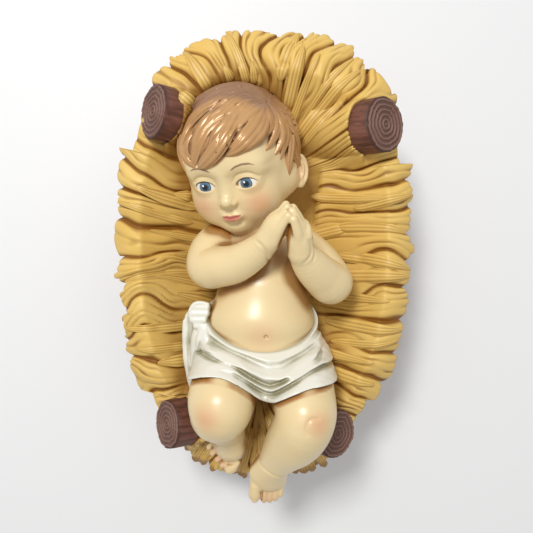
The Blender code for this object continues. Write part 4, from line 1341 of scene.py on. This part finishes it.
def wispPaths():
    # Where the loose bundles of straw lie on the bed: for each its points, their widths and their painted
    # shade
    chance = np.random.default_rng(21)
    paths, widths, tipShades = [], [], []
    for index in range(wisps["count"]):
        start = (index + chance.uniform(-0.3, 0.3)) / wisps["count"]
        length = chance.uniform(0.3, 0.6)
        tip = chance.uniform(0.6, 1.0) if index % 3 else chance.uniform(0.97, 1.01)
        out = np.linspace(max(0.3, tip - length), tip, wisps["points"])
        drift = chance.uniform(-0.35, 0.35) / bed["bundles"]
        around = start + drift * (out - out[0]) / (out[-1] - out[0])
        limit = strawExtent(around) if tip > 0.9 else np.ones_like(out)
        points, _ = bedPoint(around, out * (1 - (1 - limit) * ease(out)))
        share = np.linspace(0, 1, len(out))
        smooth = topHeight(points[:, 0], points[:, 1])
        settled = np.maximum(points[:, 2] * 0.5 + smooth * 0.5, points[:, 2] - 0.3)
        points[:, 2] = settled + 0.2 + 0.8 * share**3
        if nearLog(points[:, :2] * 1.12).any():
            continue
        paths.append(points)
        tipShades.append(np.zeros(len(out)))
        narrowing = np.sqrt(np.clip(share * 6, 0.02, 1)) * np.sqrt(np.clip((1.02 - share) * 2.2, 0.02, 1))
        widths.append(wisps["halfWidth"] * chance.uniform(0.7, 1.25) * narrowing)
    for index in range(wisps["cutEnds"]):
        # The cut ends of straw that stick out below the feet, darker towards their tips with painted shade
        start = 0.655 + 0.18 * (index + chance.uniform(-0.3, 0.3)) / wisps["cutEnds"]
        out = np.linspace(0.74, chance.uniform(1.0, 1.075), wisps["points"])
        around = start + chance.uniform(-0.2, 0.2) / bed["bundles"] * np.linspace(0, 1, len(out))
        points, _ = bedPoint(around, out)
        points[:, 2] -= chance.uniform(0, 3)
        if nearLog(points[:, :2]).any():
            continue
        paths.append(points)
        share = np.linspace(0, 1, len(out))
        narrowing = np.sqrt(np.clip(share * 6, 0.02, 1)) * np.clip((1.06 - share) * 6, 0.3, 1)
        widths.append(wisps["cutWidth"] * chance.uniform(0.6, 1.3) * narrowing)
        tipShades.append(0.75 * ease((share - 0.5) * 2.5))
    return paths, widths, tipShades


wispSteps = [
    # The profile of a bundle: a flat oval with ridges, and the painted shade and wash between them
    ("angle", "ARCTAN2", "Y", "X"), ("turns", "MULTIPLY", "angle", "Ridges"), ("wave", "COSINE", "turns"),
    ("ridge", "MULTIPLY_ADD", "wave", 0.05, 0.97), ("wide", "MULTIPLY", "X", "ridge"),
    ("flat", "MULTIPLY", "ridge", "Thickness"), ("high", "MULTIPLY", "Y", "flat"),
    ("spot", "VECTOR", "wide", "high", 0.0), ("grooveShadeAndWash", "MULTIPLY_ADD", "wave", -0.25, 0.3),
]


def wispTree():
    # Sweeps the ridged profile along each path, as wide as the path's own attribute says
    tree = bpy.data.node_groups.new("straw wisps", "GeometryNodeTree")
    kinds = {"Paths": "Geometry", "Thickness": "Float", "Ridges": "Float", "Paint": "Material"}
    for name, kind in kinds.items():
        tree.interface.new_socket(name, in_out="INPUT", socket_type="NodeSocket" + kind)
    tree.interface.new_socket("Straw", in_out="OUTPUT", socket_type="NodeSocketGeometry")
    given = addNode(tree, "NodeGroupInput").outputs
    lines = addNode(tree, "GeometryNodeMeshToCurve", None, {"Mesh": given["Paths"]})
    upright = addNode(tree, "GeometryNodeSetCurveNormal", {"mode": "Z_UP"}, {"Curve": lines.outputs[0]})
    width = addNode(tree, "GeometryNodeInputNamedAttribute", {"data_type": "FLOAT"}, {"Name": "width"})
    circle = addNode(tree, "GeometryNodeCurvePrimitiveCircle", None, {"Resolution": 36, "Radius": 1.0})
    place = addNode(tree, "GeometryNodeInputPosition")
    parts = addNode(tree, "ShaderNodeSeparateXYZ", None, {0: place.outputs[0]}).outputs
    made = {"X": parts["X"], "Y": parts["Y"], **{socket.name: socket for socket in given}}
    made = followSteps(tree, made, wispSteps)
    profile = addNode(tree, "GeometryNodeSetPosition", None, {
        "Geometry": circle.outputs["Curve"], "Position": made["spot"]})
    grooveShadeAndWashStored = addNode(tree, "GeometryNodeStoreNamedAttribute", {"data_type": "FLOAT", "domain": "POINT"}, {
        "Geometry": profile.outputs[0], "Name": "shadeAndWash", "Value": made["grooveShadeAndWash"]})
    swept = addNode(tree, "GeometryNodeCurveToMesh", None, {
        "Curve": upright.outputs[0], "Profile Curve": grooveShadeAndWashStored.outputs[0], "Scale": width.outputs[0],
        "Fill Caps": True})
    finishTree(tree, swept.outputs[0], given["Paint"])
    return tree


def finishTree(tree, geometry, material):
    smooth = addNode(tree, "GeometryNodeSetShadeSmooth", None, {"Geometry": geometry})
    real = addNode(tree, "GeometryNodeRealizeInstances", None, {"Geometry": smooth.outputs[0]})
    paint = addNode(tree, "GeometryNodeSetMaterial", None,
                    {"Geometry": real.outputs[0], "Material": material})
    addNode(tree, "NodeGroupOutput", None, {0: paint.outputs[0]})


def grown(name, mesh, tree, values):
    # Runs a Geometry Nodes tree on a mesh and keeps the result as a plain one
    carrier = bpy.data.objects.new(name, mesh)
    bpy.context.scene.collection.objects.link(carrier)
    modifier = carrier.modifiers.new("nodes", "NODES")
    modifier.node_group = tree
    for item in tree.interface.items_tree:
        if item.in_out == "INPUT" and item.name in values:
            modifier[item.identifier] = values[item.name]
    graph = bpy.context.evaluated_depsgraph_get()
    made = bpy.data.meshes.new_from_object(carrier.evaluated_get(graph))
    carrier.modifiers.remove(modifier)
    carrier.data = made
    made.name = name
    print(f"    {name}: {sum(len(p.vertices) - 2 for p in made.polygons)} triangles")
    return carrier


def makeWisps(material, infantBlocks):
    paths, widths, tipShades = wispPaths()
    for points in paths:
        for _ in range(6):
            depth = np.min([sample(block, points) for block in infantBlocks], axis=0)
            points[:, 2] -= np.clip(2.5 - depth, 0, 2)
    mesh = bpy.data.meshes.new("wisp paths")
    vertices = toMetres(np.concatenate(paths))
    count = wisps["points"]
    edges = [(row * count + k, row * count + k + 1) for row in range(len(paths)) for k in range(count - 1)]
    mesh.from_pydata(vertices.tolist(), edges, [])
    for key, values in (("width", np.concatenate(widths) / 1000), ("near", np.concatenate(tipShades))):
        mesh.attributes.new(key, "FLOAT", "POINT").data.foreach_set("value", values.astype(np.float32))
    piece = grown("strawWisps", mesh, wispTree(), {
        "Thickness": wisps["thickness"], "Ridges": float(wisps["ridges"]), "Paint": material})
    return finish(piece, "manger")


def strawPaint():
    # Cast resin under ochre paint; the brown in the grooves, on the underside and round the infant is painted
    # shade together with a wash
    material, tree, shader = startPaint("ochre paint on cast straw, brown wash in the grooves", 0.5)
    colour = layered(tree, mottled(tree, 28.0, 4.0, "#DCB052", "#EBCA7A"), [
        ("shadeAndWash", "SMOOTHSTEP", 0.1, 0.85, 1.0, "#8A5814"),
        ("near", "SMOOTHSTEP", 0.1, 0.9, 0.85, "#8A560E"),
    ])
    brushOn(tree, shader, colour, 1400.0, 0.15)
    return material


# The crossed logs: sawn ends with growth rings, bark scored along the trunk


logLook = {"rings": 5.5, "ringDepth": 0.9, "barkDepth": 1.0, "sides": 112, "faceSteps": 60,
           "barkSteps": 56, "soleSteps": 6}


logSteps = [
    # Down the sheet: first the sawn face, then the bark, then the sole
    ("down", "ADD", "sheetX", 0.5), ("turn", "ADD", "sheetY", 0.5),
    ("angle", "MULTIPLY", "turn", 2 * math.pi),
    ("cosine", "COSINE", "angle"), ("sine", "SINE", "angle"), ("faceWay", "DIVIDE", "down", "Face share"),
    ("onFace", "MINIMUM", "faceWay", 1.0), ("notFace", "SUBTRACT", 1.0, "Face share"),
    ("trunk", "SUBTRACT", "notFace", "Sole share"), ("pastFace", "SUBTRACT", "down", "Face share"),
    ("trunkWay", "DIVIDE", "pastFace", "trunk"), ("onTrunk", "MAXIMUM", "trunkWay", 0.0),
    ("below", "MINIMUM", "onTrunk", 1.0), ("soleEdge", "SUBTRACT", 1.0, "Sole share"),
    ("pastTrunk", "SUBTRACT", "down", "soleEdge"), ("soleWay", "DIVIDE", "pastTrunk", "Sole share"),
    ("onSole", "MAXIMUM", "soleWay", 0.0), ("isBark", "GREATER_THAN", "below", 0.0),
    ("isFace", "SUBTRACT", 1.0, "isBark"),
    # Growth rings wobble with the angle
    ("ringX", "MULTIPLY", "cosine", 1.1), ("ringY", "MULTIPLY", "sine", 1.1),
    ("ringPlace", "VECTOR", "ringX", "ringY", "Seed"), ("wobble", "NOISE", "ringPlace", 1.6, 2.0),
    ("swing", "SUBTRACT", "wobble", 0.5), ("swung", "MULTIPLY", "swing", 0.28),
    ("ringShift", "MULTIPLY", "swung", "onFace"), ("wobbled", "ADD", "onFace", "ringShift"),
    ("ringCount", "MULTIPLY", "wobbled", "Rings"), ("ringTurn", "MULTIPLY", "ringCount", 2 * math.pi),
    ("ringWave", "COSINE", "ringTurn"), ("ringHigh", "MULTIPLY_ADD", "ringWave", 0.5, 0.5),
    ("ringRidge", "POWER", "ringHigh", 2.2), ("ringGroove", "SUBTRACT", 1.0, "ringRidge"),
    ("ringDrop", "MULTIPLY", "ringGroove", "Ring depth"),
    # Bark: scored along the trunk and rough across it
    ("barkX", "MULTIPLY", "cosine", 3.2), ("barkY", "MULTIPLY", "sine", 3.2),
    ("barkZ", "MULTIPLY_ADD", "below", 5.0, "Seed"), ("barkPlace", "VECTOR", "barkX", "barkY", "barkZ"),
    ("scored", "NOISE", "barkPlace", 2.2, 4.0, 0.6, 0.6), ("low", "SUBTRACT", 0.62, "scored"),
    ("steep", "MULTIPLY", "low", 3.0), ("deep", "MULTIPLY", "steep", "Bark depth"),
    ("capped", "MINIMUM", "deep", "Bark depth"), ("barkCut", "MAXIMUM", "capped", 0.0),
    # The radius shrinks to nothing in the middle of the face and of the sole
    ("whole", "MULTIPLY", "onFace", "Radius"), ("cutWhole", "SUBTRACT", "whole", "barkCut"),
    ("least", "MULTIPLY", "whole", 0.9), ("kept", "MAXIMUM", "cutWhole", "least"),
    ("soleLeft", "SUBTRACT", 1.0, "onSole"), ("radius", "MULTIPLY", "kept", "soleLeft"),
    ("x", "MULTIPLY", "radius", "cosine"), ("y", "MULTIPLY", "radius", "sine"),
    # The depth along the trunk, with a rounded rim and the slopes of the two cuts
    ("pastRim", "SUBTRACT", "onFace", 0.94), ("rim", "MAXIMUM", "pastRim", 0.0),
    ("rimRound", "POWER", "rim", 2.0),
    ("drop", "MULTIPLY_ADD", "rimRound", 0.06, "ringDrop"), ("faceDrop", "MULTIPLY", "isFace", "drop"),
    ("depth", "MULTIPLY_ADD", "below", "Length", "faceDrop"), ("above", "SUBTRACT", 1.0, "below"),
    ("cutTilt", "MULTIPLY", "Cut slope", "above"),
    ("slope", "MULTIPLY_ADD", "Foot slope", "below", "cutTilt"),
    ("fallen", "MULTIPLY_ADD", "y", "slope", "depth"), ("z", "MULTIPLY", "fallen", -1.0),
    ("spot", "VECTOR", "x", "y", "z"),
    # What the paint reads
    ("faceGroove", "MULTIPLY", "isFace", "ringGroove"), ("barkGroove", "DIVIDE", "barkCut", "Bark depth"),
    ("groove", "MULTIPLY_ADD", "isBark", "barkGroove", "faceGroove"),
    ("isRim", "GREATER_THAN", "onFace", 0.95),
    ("bark", "MAXIMUM", "isBark", "isRim"),
]

logInputs = {
    "Radius": "Float", "Length": "Float", "Rings": "Float", "Ring depth": "Float", "Bark depth": "Float",
    "Cut slope": "Float", "Foot slope": "Float", "Face share": "Float", "Sole share": "Float",
    "Seed": "Float", "Sides": "Int", "Steps": "Int", "Paint": "Material",
}


def logTree():
    # Rolls a sheet into a log that stands under the middle of its sawn face
    tree = bpy.data.node_groups.new("log", "GeometryNodeTree")
    for name, kind in logInputs.items():
        tree.interface.new_socket(name, in_out="INPUT", socket_type="NodeSocket" + kind)
    tree.interface.new_socket("Log", in_out="OUTPUT", socket_type="NodeSocketGeometry")
    given = addNode(tree, "NodeGroupInput").outputs
    sheet = addNode(tree, "GeometryNodeMeshGrid", None, {
        "Size X": 1.0, "Size Y": 1.0, "Vertices X": given["Steps"], "Vertices Y": given["Sides"]})
    place = addNode(tree, "GeometryNodeInputPosition")
    flat = addNode(tree, "ShaderNodeSeparateXYZ", None, {0: place.outputs[0]}).outputs
    made = {"sheetX": flat["X"], "sheetY": flat["Y"], **{socket.name: socket for socket in given}}
    made = followSteps(tree, made, logSteps)
    geometry = sheet.outputs["Mesh"]
    for name in ("groove", "bark"):
        settings = {"data_type": "FLOAT", "domain": "POINT"}
        inputs = {"Geometry": geometry, "Name": name, "Value": made[name]}
        geometry = addNode(tree, "GeometryNodeStoreNamedAttribute", settings, inputs).outputs[0]
    moved = addNode(tree, "GeometryNodeSetPosition", None, {"Geometry": geometry, "Position": made["spot"]})
    closed = addNode(tree, "GeometryNodeMergeByDistance", None,
                     {"Geometry": moved.outputs[0], "Distance": 0.00001})
    finishTree(tree, closed.outputs[0], given["Paint"])
    return tree


def makeLogs(material):
    tree = logTree()
    steps = logLook["faceSteps"] + logLook["barkSteps"] + logLook["soleSteps"]
    lean = math.radians(logs["lean"])
    for index, (name, top, way, diameter, cut) in enumerate(logEnds()):
        side = np.sign(top[0])
        values = {
            "Radius": diameter / 2000, "Length": top[2] / way[2] / 1000, "Rings": logLook["rings"],
            "Ring depth": logLook["ringDepth"] / 1000, "Bark depth": logLook["barkDepth"] / 1000,
            "Cut slope": math.tan(math.radians(cut) - lean) * side, "Foot slope": -math.tan(lean) * side,
            "Face share": logLook["faceSteps"] / steps, "Sole share": logLook["soleSteps"] / steps,
            "Seed": 3.7 + index * 5.1, "Sides": logLook["sides"] + 1, "Steps": steps + 1, "Paint": material}
        piece = grown(name + "Log", bpy.data.meshes.new("sheet"), tree, values)
        ahead = np.array([0, 1, 0])
        stand = np.eye(4)
        stand[:3] = np.column_stack([ahead, np.cross(ahead, way), way, toMetres(top)])
        piece.data.transform(Matrix(stand.tolist()))
        finish(piece, "manger")
    report("logs")


def barkPaint():
    # Cast resin under dull brown-purple paint, the growth rings and the bark's high places rubbed paler
    material, tree, shader = startPaint("dull brown paint on cast bark", 0.6)
    face = layered(tree, fromHex("#8A6759"), [("groove", "LINEAR", 0.0, 1.0, 1.0, "#65473D")])
    rough = mottled(tree, 160.0, 4.0, "#93604D", "#6B4339")
    cracked = layered(tree, rough, [("groove", "LINEAR", 0.0, 1.0, 1.0, "#43261F")])
    brushOn(tree, shader, layered(tree, face, [("bark", "LINEAR", 0.0, 1.0, 1.0, cracked)]), 0, 0)
    return material


infantClay, infantCloud = makeInfant()
straw = strawPaint()
makeBed(straw, infantClay, infantCloud)
makeWisps(straw, infantClay)
report("straw")
makeLogs(barkPaint())


# Stage: a pale floor, soft light and the camera straight above


stage = {
    "cameraHeight": 0.5, "cameraX": 0.0034, "cameraY": 0.0076, "roll": 3.2,
    "focalPixels": 585, "frame": 533, "floorHalf": 3.0, "worldLight": 0.47,
    # Each light: its name, place, size and power
    "lights": (("key", (-0.25, 0.4, 1.1), 0.24, 8.2), ("fill", (0.5, -0.2, 0.9), 0.8, 0.5)),
}


def makeStage():
    scene = bpy.context.scene
    mesh = bpy.data.meshes.new("floor")
    s = stage["floorHalf"]
    mesh.from_pydata([(-s, -s, 0), (s, -s, 0), (s, s, 0), (-s, s, 0)], [], [(0, 1, 2, 3)])
    floor = bpy.data.objects.new("floor", mesh)
    scene.collection.objects.link(floor)
    material = bpy.data.materials.new("matt white paper")
    material.use_nodes = True
    material.node_tree.nodes["Principled BSDF"].inputs["Base Color"].default_value = (0.9, 0.9, 0.9, 1)
    mesh.materials.append(material)
    camera = bpy.data.objects.new("camera", bpy.data.cameras.new("camera"))
    scene.collection.objects.link(camera)
    camera.data.sensor_width = 36
    camera.data.lens = 36 * stage["focalPixels"] / stage["frame"]
    above = Vector((stage["cameraX"], stage["cameraY"], stage["cameraHeight"]))
    camera.location = above + Vector(origin / 1000)
    camera.rotation_euler = (0, 0, math.radians(stage["roll"]))
    scene.camera = camera
    world = bpy.data.worlds.new("studio")
    world.use_nodes = True
    world.node_tree.nodes["Background"].inputs["Color"].default_value = (1, 1, 1, 1)
    world.node_tree.nodes["Background"].inputs["Strength"].default_value = stage["worldLight"]
    scene.world = world
    scene.view_settings.view_transform = "Standard"
    for name, spot, size, power in stage["lights"]:
        light = bpy.data.objects.new(name, bpy.data.lights.new(name, "AREA"))
        light.data.size = size
        light.data.energy = power
        light.location = spot
        light.rotation_euler = Vector(spot).to_track_quat("Z", "Y").to_euler()
        scene.collection.objects.link(light)


makeStage()
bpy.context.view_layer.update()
report("done")
